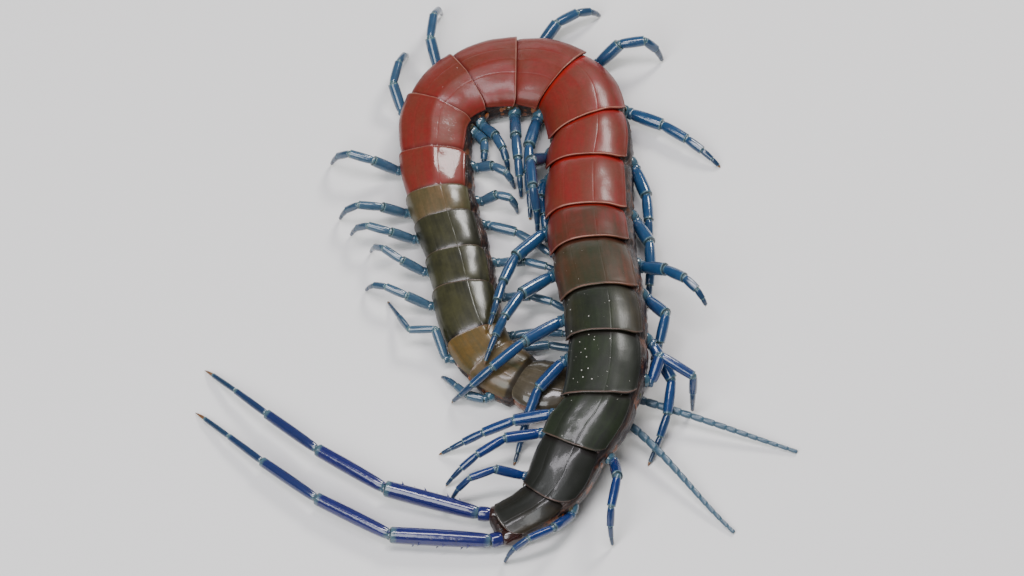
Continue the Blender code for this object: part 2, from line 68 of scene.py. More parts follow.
# Each back plate from the neck to the tail: its length and width in millimetres, the heading in degrees in
# which it runs away from the head, and how far its rear edge lifts the belly off the floor.
Plate = namedtuple("Plate", "length width heading lift")
PLATES = (
    Plate(6.2, 9.5, 148.0, 0.0),
    Plate(4.8, 9.5, 119.0, 0.0),
    Plate(8.8, 10.0, 101.0, 0.0),
    Plate(6.3, 10.0, 98.0, 0.0),
    Plate(6.6, 10.3, 106.0, 0.0),
    Plate(4.8, 10.5, 103.0, 0.0),
    Plate(7.2, 10.8, 96.0, 0.0),
    Plate(8.8, 11.0, 89.0, 0.0),
    Plate(6.6, 11.4, 46.0, 0.0),
    Plate(7.8, 12.4, 11.0, 0.0),
    Plate(7.4, 13.0, -12.0, 0.0),
    Plate(9.5, 13.2, -72.0, 0.0),
    Plate(8.0, 13.3, -94.0, 0.3),
    Plate(10.4, 13.5, -90.0, 1.4),
    Plate(7.6, 13.3, -85.0, 3.0),
    Plate(10.0, 13.0, -81.0, 5.4),
    Plate(8.0, 12.6, -86.0, 6.4),
    Plate(9.8, 12.2, -94.0, 6.2),
    Plate(7.6, 11.4, -122.0, 4.2),
    Plate(8.5, 9.8, -112.0, 1.9),
    Plate(6.8, 7.2, -156.0, 0.0),
)
PLATE_COUNT = len(PLATES)
PLATES_PER_LENGTH = 3
HEIGHT_TO_WIDTH = 0.57
COURSE_STEP = 0.05
PITCH_REACH = 2.5
TAIL_REACH = 1.9

# Rear edges askew to the trunk's line, in degrees, and the roll of both limbs.
SKEWS = {0: 0.0, 11: 0.0, 12: 18.0, 13: 6.0, 14: 0.0, 17: 0.0, 18: 18.0, 19: 0.0, 20: 8.0, 21: 0.0}
LEANS = {0: 0.0, 2: 0.10, 3: 0.22, 8: 0.22, 11: 0.0, 13: -0.12, 18: -0.12, 20: 0.0, 21: 0.0}

# Half sections of the back from its crest to its side, as shares of the trunk's width and height.
BACK_EDGE = ((0.50, 0.55), (0.497, 0.44))
DOMED = ((0.0, 1.0), (0.10, 0.996), (0.22, 0.965), (0.34, 0.885), (0.44, 0.74), *BACK_EDGE)
RIDGED = ((0.0, 1.02), (0.19, 0.94), (0.38, 0.84), (0.46, 0.74), (0.49, 0.64), *BACK_EDGE)
PANELLED = ((0.0, 1.0), (0.17, 0.995), (0.21, 0.98), (0.42, 0.85), (0.475, 0.72), *BACK_EDGE)
RIDGE_SHARES = {0: 0.0, 5.5: 0.0, 6.5: 1.0, 10: 1.0, 11.5: 0.0, 21: 0.0}
PANEL_SHARES = {0: 0.0, 16: 0.0, 18: 1.0, 21: 1.0}
SECTION_STEPS = 60

# How far the plates slip over to the right side of the animal, so that the soft flank shows on its left side;
# below zero it is the other way round. The margins lie at these shares of the section.
ROLLS = {
    0: 0.0, 2: 0.3, 4: 1.0, 6.4: 1.0, 8: 0.5, 10: 0.15, 11: 0.0, 12: -0.45, 13: -0.85, 18: -0.85, 20: -0.75,
    21: -0.5,
}
MARGIN_AT = 0.93
MARGIN_PULL = 0.25
MARGIN_PUSH = 0.05

# The soft skin's half section, from under the back plate down the side to the middle of the belly, where a
# plate covers the flank and where it shows.
SKIN_TOP = ((0.0, 0.90), (0.25, 0.86))
SKIN_FOOT = ((0.395, 0.05), (0.31, 0.04), (0.0, 0.04))
COVERED_SKIN = (
    *SKIN_TOP, (0.38, 0.72), (0.43, 0.62), (0.455, 0.56), (0.465, 0.50), (0.445, 0.44), (0.470, 0.36),
    (0.478, 0.26), (0.450, 0.15), *SKIN_FOOT,
)
SHOWN_SKIN = (
    *SKIN_TOP, (0.35, 0.80), (0.42, 0.735), (0.475, 0.645), (0.497, 0.545), (0.478, 0.46), (0.494, 0.38),
    (0.486, 0.26), (0.452, 0.15), *SKIN_FOOT,
)

# Rows a plate and columns of half the skin, its ends before the neck and behind the last edge, each with a
# size, how deep and how wide it is pinched and tucked in at the plates' edges, where its flank and its upper
# part lie, and how far apart the wrinkles of its two sides are read.
SKIN_ROWS = 15
SKIN_COLUMNS = 31
SKIN_NECK = ((-0.55, 0.62), (-0.35, 0.80))
SKIN_TAIL = ((0.0, 1.0), (0.5, 0.97), (1.0, 0.9), (1.4, 0.78), (1.7, 0.6), (1.85, 0.4))
PINCH = 0.34
PINCH_REACH = 0.75
SKIN_TUCK = 0.50
SKIN_TUCK_REACH = 0.90
FLANK_AT = 0.52
FLANK_REACH = 0.13
UPPER_SKIN_TO = 0.46
UPPER_SKIN_FADE = 0.10
SIDE_SHIFT = 4.0

# Belly plates: thickness and how far their edges rise, in millimetres.
BELLY_THICKNESS = 0.30
BELLY_EDGE_RISE = 0.10

# How a plate's surface rises and falls from its tucked front edge to its rear rim, and from its crest to its
# side margin, in millimetres.
PLATE_RISE = {
    0.0: -0.64,
    0.05: -0.50,
    0.10: -0.36,
    0.17: -0.20,
    0.30: -0.09,
    0.50: -0.02,
    0.78: 0.0,
    0.950: -0.02,
    0.972: 0.0,
    0.985: 0.035,
    0.994: 0.02,
    1.0: -0.06,
}
MARGIN_RISE = {0.0: 0.0, 0.90: 0.0, 0.945: -0.02, 0.966: 0.035, 0.986: 0.03, 1.0: -0.05}

# From which plate on the side margins are full; how far a plate's front flares down and from where; where its
# corners round off; where its rim starts and how thin it is; how much of the tail's reach the last one covers.
FULL_MARGIN_FROM = 7
FLARE = 0.30
FLARE_FROM = 0.45
CORNER_FROM = 0.74
RIM_FROM = 0.95
RIM_THINNING = 0.75
LAST_PLATE_SHARE = 0.45

# A plate's rows from front to rear and half of its columns from its crest to its side, close together where
# the rim, the margins and the two grooves lie.
PLATE_ROWS = (
    0.0, 0.03, 0.06, 0.10, 0.14, 0.19, 0.25, 0.32, 0.39, 0.46, 0.53, 0.60, 0.67, 0.74, 0.80, 0.86, 0.90,
    0.935, 0.952, 0.965, 0.973, 0.980, 0.986, 0.991, 0.996, 1.0,
)
HALF_COLUMNS = (
    0.0, 0.008, 0.02, 0.05, 0.11, 0.17, 0.23, 0.272, 0.288, 0.30, 0.312, 0.328, 0.37, 0.44, 0.51, 0.58, 0.65,
    0.72, 0.79, 0.85, 0.90, 0.925, 0.945, 0.962, 0.978, 0.992, 1.0,
)
COLUMNS = (*(-value for value in reversed(HALF_COLUMNS[1:])), *HALF_COLUMNS)
GROOVE_AT = 0.30
GROOVE_HALF = 0.014

# How far the sides of a rear rim lie in front of its middle, in millimetres, and how dusty a plate is.
REAR_BOWS = {18: 0.4, 19: 0.9, 20: 1.3, 21: 2.4}
DUST = {16: 0.5, 17: 0.9, 18: 1.0, 19: 0.8}
FAINT_DUST = 0.12

# The plates' finishes: name, gloss, haze and how soft the gloss is. Some plates have a softer one than their
# neighbours.
SHELL_FINISHES = {
    "shell_olive": ("Olive plates", 0.45, 0.34, 0.20),
    "shell_red": ("Red plates", 0.45, 0.40, 0.07),
    "satin_red": ("Satin red plates", 0.27, 0.42, 0.20),
    "satin_dark": ("Satin dark plates", 0.22, 0.42, 0.24),
    "shell_dark": ("Dark plates", 0.35, 0.42, 0.14),
}
SATIN_PLATES = {**dict.fromkeys(range(9, 16), "satin_red"), **dict.fromkeys(range(16, 19), "satin_dark")}

# The colours of a plate's middle, of its blotches and of its sides, where they aren't maroon and russet.
PLATE_TINTS = {
    1: ("olive", "tan", "olive"),
    2: ("amber", "olive", "amber"),
    3: ("black_olive", "olive", "black_olive"),
    4: ("black_olive", "olive", "black_olive"),
    5: ("olive", "black_olive", "black_olive"),
    6: ("tan", "olive", "olive"),
    15: ("chestnut", "umber", "maroon"),
    16: ("umber", "forest", "russet"),
    17: ("forest", "jet", "umber"),
    18: ("forest", "jet", "jet"),
    19: ("jet", "forest", "jet"),
    20: ("jet", "jet", "jet"),
    21: ("jet", "jet", "umber"),
}

# How strongly a plate's rear rim shows, what is added to it, and the colour of the plate's front.
RIMS = {
    **dict.fromkeys((2, 7, 16), (0.5, 0.0, (0.05, 0.012, 0.006))),
    **dict.fromkeys(range(8, 12), (0.7, 0.0, (0.10, 0.004, 0.003))),
    **dict.fromkeys(range(12, 16), (1.0, 0.0, (0.26, 0.006, 0.005))),
}
FAINT_RIM = (0.25, 0.02, (0.006, 0.004, 0.003))

# Marks of the shell and the skin, across and deep in metres, and the tints of specks and of lines at joints.
BLOTCH_SIZE = 0.0042
GRAIN_SIZE = 0.00045
WEAR_SIZE = 0.0035
SHEEN_SIZE = 0.0016
SPECK_SIZE = 0.0009
SPECK_GROUP_SIZE = 0.0023
SPECK_DEPTH = 0.00003
SPECK_TINT = (0.60, 0.58, 0.52)
PIT_SIZE = 0.00032
PIT_DEPTH = 0.000008
SWELL_SIZE = 0.0013
SWELL_DEPTH = 0.000022
PATCH_SIZE = 0.0021
WRINKLE_DEPTH = 0.00022
SKIN_GRAIN_SIZE = 0.00030
SKIN_GRAIN_DEPTH = 0.00003
JOINT_LINE_TINT = (0.006, 0.008, 0.012)

# Legs: the same stance, lengths and thickness as the solids, so that each fine leg stands where its node is.
ROOT_MARGIN = 0.35
ROOT_LEAN = 0.45
ROOT_SIDE = 0.455
ROOT_HEIGHT = 0.30
ROOT_REACH = 0.9
ROOT_SWELL = 1.25
GAP = 0.3
LEG_LENGTHS = {1: 1.25, 9: 1.35, 14: 1.5, 20: 1.55}
LEG_THICKNESS = 0.15

# The six lengths of a leg from the trunk to the claw: shape, share of the leg's length, radius as a share of
# the leg's, and how far its tint goes over to the foot's.
Length = namedtuple("Length", "shape share near dark")
WALKING = (
    Length("stout", 0.31, 1.00, 0.0),
    Length("even", 0.27, 0.86, 0.0),
    Length("even", 0.18, 0.72, 0.35),
    Length("slender", 0.12, 0.54, 0.75),
    Length("slender", 0.08, 0.40, 1.0),
    Length("hook", 0.04, 0.28, 0.0),
)
TRAILING = (
    Length("stout", 0.29, 1.00, 0.0),
    Length("even", 0.24, 0.84, 0.0),
    Length("even", 0.20, 0.66, 0.35),
    Length("slender", 0.13, 0.48, 0.75),
    Length("slender", 0.10, 0.36, 1.0),
    Length("hook", 0.04, 0.26, 0.0),
)

# How far a root block reaches in and out of the trunk, where its collar starts, how far the collar goes past
# the first joint, in millimetres, and the radii of both as shares of the leg's.
Root = namedtuple("Root", "inside outside collar_at past block collar")
WALKING_ROOT = Root(0.85, 0.748, 0.648, 0.20, 1.04, 0.96)
REAR_ROOT = Root(2.2, 0.9, 0.6, 0.15, 1.05, 0.90)
REAR_BLOCK_TINT = (0.030, 0.010, 0.007)

# The first plate whose legs are deep blue, the thinnest a leg gets, and the arch of its line.
DEEPER_LEGS_FROM = 13
LEAST_RADIUS = 0.26
FOOT_DROP = 2.0
REAR_FOOT_DROP = 3.2
ARCH_FIRST = 0.30
ARCH_LAST = 0.18
ARCH_RISE = 0.7
ARCH_LIMIT = 1.5
ARCH_TRIES = 24
ARCH_STEPS = 60

# The long rear legs: where they leave the tail, how they turn to the left, and their feet with their bows.
REAR_LEG_WIDTH = 2.5
REAR_ROOT_BEHIND = 0.4
REAR_ROOT_SIDE = 0.30
REAR_ROOT_HEIGHT = 0.50
REAR_ROOT_REACH = 2.2
REAR_ROOT_TURNS = {"left": 30.0, "right": 8.0}
REAR_SLACK = 1.03
REAR_FEET = {"left": (-46.0, -15.0, 0.0, 0.04), "right": (-47.3, -22.7, 0.0, 0.05)}
SIDES = {"left": 1.0, "right": -1.0}

# How a leg stands: its foot east, north and up; its bow and its length as shares of its usual length; how
# strongly its root leans to the foot; how far its root is moved tailwards; and its first knees where known.
Stance = namedtuple(
    "Stance", "east north up bow share lean shift knees", defaults=(0.0, 0.0, 1.0, ROOT_LEAN, 0.0, ())
)
STANCES = {
    ("right", 1): Stance(-10.6, -16.3, share=0.62, shift=-1.8),
    ("right", 2): Stance(-18.7, -2.4, knees=((-11.5, -10.3, 4.0), (-15.4, -10.0, 3.4))),
    ("right", 3): Stance(-22.0, -0.6),
    ("right", 8): Stance(-15.8, 42.6),
    ("right", 10): Stance(13.4, 50.2, share=0.78, shift=4.0),
    ("right", 11): Stance(22.8, 41.8, share=0.82, shift=2.2),
    ("right", 12): Stance(31.5, 22.0, share=0.87, lean=2.0),
    ("right", 13): Stance(20.6, 4.4, share=0.84, lean=2.0),
    ("right", 14): Stance(20.4, -4.0, bow=0.02, share=0.78, lean=1.5),
    ("right", 15): Stance(29.1, -7.7, up=6.0, share=0.72, lean=2.0, shift=3.3),
    ("right", 16): Stance(20.6, -17.0, bow=0.06, share=0.84, lean=0.8),
    ("right", 17): Stance(20.2, -32.5, bow=0.07, share=1.04, lean=0.8),
    ("right", 18): Stance(26.9, -22.8, shift=-2.5, knees=((22.1, -19.7, 10.6), (27.0, -22.3, 9.0))),
    ("right", 19): Stance(15.0, -47.0, bow=-0.10),
    ("right", 20): Stance(-1.2, -50.0, lean=1.5),
    ("left", 1): Stance(13.8, -13.4),
    ("left", 2): Stance(12.6, -9.6),
    ("left", 3): Stance(9.8, -6.2),
    ("left", 4): Stance(9.2, 0.4),
    ("left", 5): Stance(8.0, 3.8),
    ("left", 6): Stance(0.9, 13.6, share=0.66),
    ("left", 7): Stance(0.4, 18.2, share=0.60),
    ("left", 8): Stance(-4.2, 22.2, share=0.42),
    ("left", 9): Stance(-0.5, 21.0, bow=0.03, share=0.64, shift=-1.5),
    ("left", 10): Stance(1.4, 16.2, bow=-0.01, share=0.92, shift=1.2),
    ("left", 11): Stance(2.7, 12.2, lean=0.9, shift=2.2),
    ("left", 12): Stance(3.8, 9.6, share=1.10, lean=0.6, shift=3.8),
    ("left", 13): Stance(5.1, 8.2, bow=0.07, share=0.54, lean=0.7, shift=2.2),
    ("left", 14): Stance(-3.6, -11.8, up=5.9, shift=2.2),
    ("left", 15): Stance(-4.2, -18.0, up=5.6, shift=3.6),
    ("left", 16): Stance(-9.2, -21.0, bow=0.13, share=1.15, shift=3.4),
    ("left", 17): Stance(0.2, -32.4, share=0.88, shift=3.0),
    ("left", 18): Stance(-11.0, -30.4, shift=3.6),
    ("left", 19): Stance(-10.0, -36.2, lean=0.8),
    ("left", 20): Stance(-9.3, -39.2, lean=0.8, shift=-2.0),
}

# Legs that nothing crowds: how far they reach and how they swing back, in a wave of so many legs.
FREE_REACH = 0.80
FREE_SWING = 24.0
FREE_SWING_WAVE = 14.0
FREE_WAVE_LEGS = 5.0
FREE_BOW = 0.04

# The head: its own heading, how it turns from the trunk's line, and the shield's outline: forward, half width
# and height of the crest in millimetres.
HEAD_HEADING = -14.0
HEAD_TURN_LENGTH = 4.0
HEAD_STEPS = 40
SHIELD_OUTLINE = (
    (-0.7, 3.0, 4.85),
    (0.0, 3.75, 4.95),
    (1.4, 4.35, 5.1),
    (3.2, 4.52, 5.2),
    (4.8, 4.42, 5.15),
    (6.4, 3.95, 5.0),
    (7.8, 3.05, 4.75),
    (8.6, 2.2, 4.55),
    (9.05, 1.2, 4.35),
)
SHIELD_ROWS = (0.0, 0.006, 0.014, 0.025, 0.04, 0.06, *np.linspace(0.09, 0.96, 24), 0.98, 0.993, 1.0)
SHIELD_BOW = 1.15
SHIELD_ARCH = 1.75
SHIELD_LIP = 0.05
SHIELD_RIM_DROP = 0.10
SHIELD_GROOVE = 0.05
FACE = 8.9
ANTENNA_SIDE = 1.35
ANTENNA_HEIGHT = 3.6
ANTENNA_TIPS = {"left": (42.5, -30.0, 0.30), "right": (33.0, -44.5, 0.30)}
ANTENNA_RADII = (0.74, 0.27)
ANTENNA_REACH = 0.3
ANTENNA_LIFT = 1.2

# Places on the head: forward from the neck, out from its line and up from the floor.
CLAW_POINTS = (
    (3.3, 2.35, 1.25),
    (4.6, 2.95, 1.25),
    (6.1, 3.15, 1.30),
    (7.5, 2.55, 1.35),
    (8.5, 1.50, 1.30),
    (9.0, 0.55, 1.20),
)
FANG_SIDES = 28
EYES = ((7.35, 3.05, 3.75), (6.85, 3.42, 3.72), (7.0, 3.16, 4.12), (7.45, 2.95, 3.35))
PALP_KNEES = ((5.0, 1.0, 2.2), (6.6, 1.35, 2.25), (7.9, 0.85, 2.2), (8.7, 0.35, 2.15))

# Rings of the head under its shield, and of the plate that carries the poison claws: forward, half width,
# top and underside.
HEAD_BODY = (
    (-0.3, 3.0, 4.2, 2.6),
    (0.3, 3.6, 4.35, 2.5),
    (1.5, 4.15, 4.5, 2.5),
    (3.5, 4.25, 4.6, 2.55),
    (5.4, 4.0, 4.5, 2.6),
    (7.0, 3.3, 4.35, 2.65),
    (8.1, 2.5, 4.2, 2.7),
    (8.7, 1.7, 3.95, 2.8),
    (8.95, 0.9, 3.6, 3.0),
)
HEAD_SECTION = ((0.0, 1.0), (0.5, 0.96), (0.85, 0.74), (1.0, 0.42), (0.95, 0.16), (0.7, 0.02), (0.0, 0.0))
JAW_PLATE = (
    (0.0, 3.1, 3.0, 0.35),
    (0.25, 3.5, 3.1, 0.1),
    (1.2, 3.9, 3.15, 0.02),
    (2.3, 3.8, 3.15, 0.02),
    (3.0, 3.2, 3.1, 0.10),
    (3.5, 2.0, 2.9, 0.35),
    (3.75, 1.2, 2.6, 0.7),
)
JAW_SECTION = ((0.0, 1.0), (0.7, 1.0), (0.98, 0.78), (1.0, 0.4), (0.9, 0.10), (0.72, 0.0), (0.0, 0.0))

# Plates with a breathing hole above each leg, and the small shields round a leg's root: how far behind its
# middle and how wide as shares of its radius, and how high.
SPIRACLE_PLATES = (3, 5, 8, 10, 12, 14, 16, 18, 20)
SIDE_SHIELDS = ((-1.9, 0.42, 0.62), (1.75, 0.36, 0.5), (-1.2, 0.50, 0.42))
SIDE_SHIELD_OUT = 0.462

# Shapes of one length along its own axis: place from 0 to 1 and radius, where 1 is the near radius.
SHAPES = {
    "ball": (
        (-1.0, 0.05), (-0.92, 0.39), (-0.7, 0.71), (-0.38, 0.92), (0.0, 1.0), (0.38, 0.92), (0.7, 0.71),
        (0.92, 0.39), (1.0, 0.05),
    ),
    "coxa": (
        (0.0, 0.9), (0.10, 1.08), (0.35, 1.15), (0.65, 1.12), (0.88, 1.02), (0.97, 0.90), (1.0, 0.70),
    ),
    "collar": (
        (0.0, 0.60), (0.06, 0.86), (0.25, 0.98), (0.60, 1.02), (0.88, 1.00), (0.96, 0.94), (1.0, 0.74),
    ),
    "stout": (
        (0.0, 0.58), (0.012, 0.76), (0.05, 0.89), (0.14, 0.98), (0.34, 1.06), (0.60, 1.10), (0.84, 1.08),
        (0.95, 1.06), (0.975, 1.07), (0.99, 1.03), (1.0, 0.88), (1.006, 0.60),
    ),
    "even": (
        (0.0, 0.56), (0.012, 0.74), (0.05, 0.88), (0.14, 0.97), (0.34, 1.04), (0.60, 1.06), (0.84, 1.02),
        (0.95, 1.00), (0.975, 1.01), (0.99, 0.98), (1.0, 0.84), (1.006, 0.56),
    ),
    "slender": (
        (0.0, 0.56), (0.015, 0.78), (0.06, 0.92), (0.18, 0.99), (0.42, 1.00), (0.66, 0.95), (0.86, 0.88),
        (0.95, 0.86), (0.975, 0.87), (0.99, 0.83), (1.0, 0.70), (1.006, 0.45),
    ),
    "hook": (
        (0.0, 0.70), (0.04, 0.98), (0.15, 1.02), (0.35, 0.92), (0.55, 0.72), (0.75, 0.48), (0.9, 0.24),
        (1.0, 0.06),
    ),
    "thorn": (
        (0.0, 1.15), (0.12, 1.0), (0.4, 0.72), (0.7, 0.36), (0.9, 0.14), (1.0, 0.04),
    ),
    "article": (
        (0.0, 0.55), (0.03, 0.80), (0.12, 0.93), (0.4, 1.0), (0.7, 1.02), (0.88, 0.99), (0.97, 0.84),
        (1.0, 0.55),
    ),
    "swollen": (
        (0.0, 0.75), (0.05, 1.0), (0.2, 1.16), (0.45, 1.22), (0.7, 1.10), (0.88, 0.98), (0.96, 0.98),
        (1.0, 0.78),
    ),
    "shield": (
        (0.0, 1.0), (0.12, 0.97), (0.35, 0.86), (0.62, 0.66), (0.85, 0.38), (1.0, 0.05),
    ),
}
HOOK_BEND = 1.05
NEARLY_UPRIGHT = 0.97

# Lights: place, width, height, tint and, where it isn't east, the way that the width runs.
LIGHTS = {
    "Key": ((0.25, 0.40, 0.41), 0.15, 0.15, (1.0, 0.985, 0.96)),
    "Overhead": ((-0.02, -0.02, 0.60), 0.42, 0.10, (0.97, 0.93, 1.0), (0.90, 0.44, 0.0)),
    "Fill": ((-0.25, -0.42, 0.50), 0.45, 0.45, (0.94, 0.97, 1.0)),
    "Rim": ((-0.12, 0.62, 0.17), 0.42, 0.10, (0.94, 0.97, 1.0)),
}
FLOOR_REACH = 1.5
FLOOR_DROP = 0.00003


# Sizes and colours that a user would change


def length(name, description, default):
    """A size in metres."""
    return FloatProperty(
        name=name, description=description, default=default, min=0.0, precision=5, subtype="DISTANCE"
    )


def colour(name, description, default):
    """A surface colour."""
    return FloatVectorProperty(
        name=name, description=description, default=default, min=0.0, max=1.0, size=3, subtype="COLOR"
    )


def share(name, description, default, most=1.0):
    """A plain share or strength."""
    return FloatProperty(
        name=name, description=description, default=default, min=0.0, max=most, subtype="FACTOR"
    )


def power(name, description, default):
    """The power of a light."""
    return FloatProperty(name=name, description=description, default=default, min=0.0, unit="POWER")


class CentipedeShell(bpy.types.PropertyGroup):
    """Back and belly plates and the soft sides."""

    plate_thickness: length("Plate thickness", "Thickness of a back plate at its rim", 0.00028)
    tuck: length("Tuck", "How far a plate's front edge slips under the plate before it", 0.0008)
    corner: length("Corner", "How far a plate's rear corners are rounded off", 0.0007)
    groove: length("Groove depth", "Depth of the two fine grooves along each plate", 0.000022)
    unevenness: length("Unevenness", "Height of the soft swells on the plates", 0.00007)
    folds: length("Side folds", "Depth of the folds in the soft sides", 0.00013)
    amber: colour("Amber", "Second plate", (0.129, 0.071, 0.015))
    olive: colour("Olive", "Plates behind the head", (0.052, 0.050, 0.020))
    black_olive: colour("Black olive", "Third and fourth plate", (0.012, 0.012, 0.006))
    tan: colour("Tan", "Sixth plate", (0.135, 0.080, 0.035))
    maroon: colour("Maroon", "Plates round the bend", (0.188, 0.012, 0.009))
    russet: colour("Russet", "Brown tint in the maroon plates", (0.130, 0.030, 0.014))
    chestnut: colour("Chestnut", "Fifteenth plate", (0.125, 0.016, 0.009))
    umber: colour("Umber", "Sixteenth plate", (0.042, 0.025, 0.009))
    forest: colour("Forest", "Seventeenth and eighteenth plate", (0.016, 0.025, 0.009))
    jet: colour("Jet", "Last plates", (0.009, 0.010, 0.007))
    rim: colour("Rim", "Pale rear rim of a plate", (0.40, 0.19, 0.13))
    side_skin: colour("Side skin", "Soft sides between the plates", (0.007, 0.005, 0.005))
    side_spot: colour("Side spots", "Orange-brown spots on the soft sides", (0.26, 0.075, 0.016))
    belly: colour("Belly", "Belly plates", (0.20, 0.125, 0.060))


class CentipedeLimbs(bpy.types.PropertyGroup):
    """Legs and feelers."""

    sides: IntProperty(name="Sides", description="Faces round a leg", default=20, min=8, max=48)
    articles: IntProperty(name="Articles", description="Lengths of a feeler", default=19, min=8, max=30)
    fullness: share("Fullness", "Thickness of all legs and feelers", 1.0, 2.0)
    joint_ball: share("Joint ball", "Size of the soft joint between two lengths", 0.80)
    root: colour("Root", "Short first length at the trunk", (0.040, 0.095, 0.130))
    steel: colour("Steel", "Legs near the head", (0.055, 0.105, 0.145))
    blue: colour("Blue", "Walking legs", (0.012, 0.056, 0.135))
    deep_blue: colour("Deep blue", "Legs near the tail", (0.007, 0.028, 0.130))
    violet: colour("Violet", "Long rear legs", (0.010, 0.014, 0.110))
    joint: colour("Joint", "Soft joints and rims of the lengths", (0.080, 0.150, 0.155))
    foot: colour("Foot", "Last lengths of a leg", (0.012, 0.036, 0.080))
    claw: colour("Claw", "Tips of legs", (0.16, 0.075, 0.028))
    feeler: colour("Feeler", "Feelers", (0.045, 0.095, 0.140))


class CentipedeHead(bpy.types.PropertyGroup):
    """Head shield, eyes and poison claws."""

    shield_thickness: length("Shield thickness", "Thickness of the head shield at its rim", 0.0003)
    eye: length("Eye", "Radius of one simple eye", 0.00021)
    shield: colour("Shield", "Head shield", (0.075, 0.060, 0.036))
    under: colour("Underside", "Soft parts and the plate under the head", (0.17, 0.060, 0.026))
    fang: colour("Fang", "Poison claws", (0.19, 0.045, 0.014))


class CentipedeStage(bpy.types.PropertyGroup):
    """Floor, light and camera."""

    elevation: FloatProperty(
        name="Elevation", description="Camera above the horizon", default=math.radians(55.0), subtype="ANGLE"
    )
    view_width: length("View width", "Width that the picture spans on the model", 0.1536)
    lens: FloatProperty(name="Lens", description="Focal length of the camera in millimetres", default=600.0)
    key: power("Key light", "Power of the main light", 2.4)
    overhead: power("Overhead light", "Power of the strip above", 2.6)
    fill: power("Fill light", "Power of the light beside the camera", 4.4)
    rim: power("Rim light", "Power of the low light behind", 0.35)
    sky: share("Sky", "Strength of the light from all round", 0.17, 2.0)
    floor: colour("Floor", "Floor colour", (0.78, 0.77, 0.75))


# The trunk's line


Course = namedtuple("Course", "edges middles along headings lifts slopes east north")


@lru_cache(maxsize=1)
def course():
    """Plate edges and middles and, in small steps from the neck, the course of the trunk's line."""
    lengths = np.array([plate.length for plate in PLATES])
    edges = np.concatenate([[0.0], np.cumsum(lengths)])
    middles = edges[:-1] + lengths / 2
    along = np.arange(0.0, edges[-1] + TAIL_REACH + COURSE_STEP, COURSE_STEP)
    headings = np.radians(np.interp(along, middles, [plate.heading for plate in PLATES]))
    lifts = np.interp(along, edges, [0.0] + [plate.lift for plate in PLATES])
    after = np.interp(along + PITCH_REACH, along, lifts)
    before = np.interp(along - PITCH_REACH, along, lifts)
    slopes = (after - before) / (2 * PITCH_REACH)
    east, north = (
        start + np.concatenate([[0.0], np.cumsum(run(headings[:-1]) * COURSE_STEP)])
        for start, run in zip(NECK, (np.cos, np.sin))
    )
    return Course(edges, middles, along, headings, lifts, slopes, east, north)


def read(table, at):
    """A value from a table of places and values, or between two of them."""
    return float(np.interp(at, list(table), list(table.values())))


@lru_cache(maxsize=None)
def edge(plate):
    """Distance from the neck to a plate's rear edge, or to a share of the next plate beyond it."""
    return float(np.interp(plate, range(PLATE_COUNT + 1), course().edges))


def between_edges(along, values):
    """A value at a distance from the neck, from a table that gives it at some plates' rear edges."""
    return read({edge(plate): value for plate, value in values.items()}, along)


@lru_cache(maxsize=None)
def stand_at(along):
    """The trunk's frame at a distance from the neck: belly point, tailwards, left and upward axes."""
    line = course()
    heading = float(np.interp(along, line.along, line.headings)) + math.radians(between_edges(along, SKEWS))
    slope = float(np.interp(along, line.along, line.slopes))
    base = Vector([np.interp(along, line.along, values) for values in (line.east, line.north, line.lifts)])
    level = Vector((math.cos(heading), math.sin(heading), 0.0))
    if along < 0.0:
        base += level * along
    left = Vector((level.y, -level.x, 0.0))
    tailwards = Vector((level.x, level.y, slope)).normalized()
    return base, tailwards, left, left.cross(tailwards).normalized()


def stand(along):
    """The trunk's frame, kept for the nearest hundredth of a millimetre."""
    return stand_at(round(float(along), 2))


@lru_cache(maxsize=None)
def width_at(along):
    """The trunk's width at a distance from the neck."""
    return float(np.interp(along, course().middles, [plate.width for plate in PLATES]))


def leaned(along, height, tall):
    """How far the trunk's roll moves a point at a share of its height to the left."""
    return between_edges(along, LEANS) * (1.0 - height) * tall


def on_trunk(along, side, height, frame_at=stand):
    """A point at a distance from the neck, at shares of the width to the left and of the height."""
    base, _, left, upward = frame_at(along)
    width = width_at(along)
    tall = width * HEIGHT_TO_WIDTH
    return base + left * (side * width + leaned(along, height, tall)) + upward * (height * tall)


def rounded(points, times):
    """A line of points with its corners cut off again and again, and its ends kept."""
    for _ in range(times):
        cut = [points[0]]
        for a, b in zip(points, points[1:]):
            cut += [tuple(p * (1.0 - t) + q * t for p, q in zip(a, b)) for t in (0.25, 0.75)]
        points = [*cut, points[-1]]
    return points


@lru_cache(maxsize=None)
def even_section(section):
    """A rounded half section with its points at even steps of its own length."""
    points = np.array(rounded(section, 3))
    scaled = points * (1.0, HEIGHT_TO_WIDTH)
    steps = np.concatenate([[0.0], np.cumsum(np.linalg.norm(np.diff(scaled, axis=0), axis=1))])
    shares = np.linspace(0.0, steps[-1], SECTION_STEPS + 1)
    return np.stack([np.interp(shares, steps, points[:, axis]) for axis in range(2)], axis=1)


@lru_cache(maxsize=None)
def back_section(along):
    """The back's half section at a distance from the neck: domed, ridged or panelled."""
    ridge = between_edges(along, RIDGE_SHARES)
    panel = between_edges(along, PANEL_SHARES)
    shape = even_section(DOMED) * (1.0 - ridge - panel) + even_section(RIDGED) * ridge
    return shape + even_section(PANELLED) * panel


def margins(along):
    """Where a plate's right and left margins lie on the section, as shares of it."""
    roll = between_edges(along, ROLLS)
    pulled = (MARGIN_PULL * max(turn, 0.0) - MARGIN_PUSH * max(-turn, 0.0) for turn in (-roll, roll))
    return [MARGIN_AT - pull for pull in pulled]


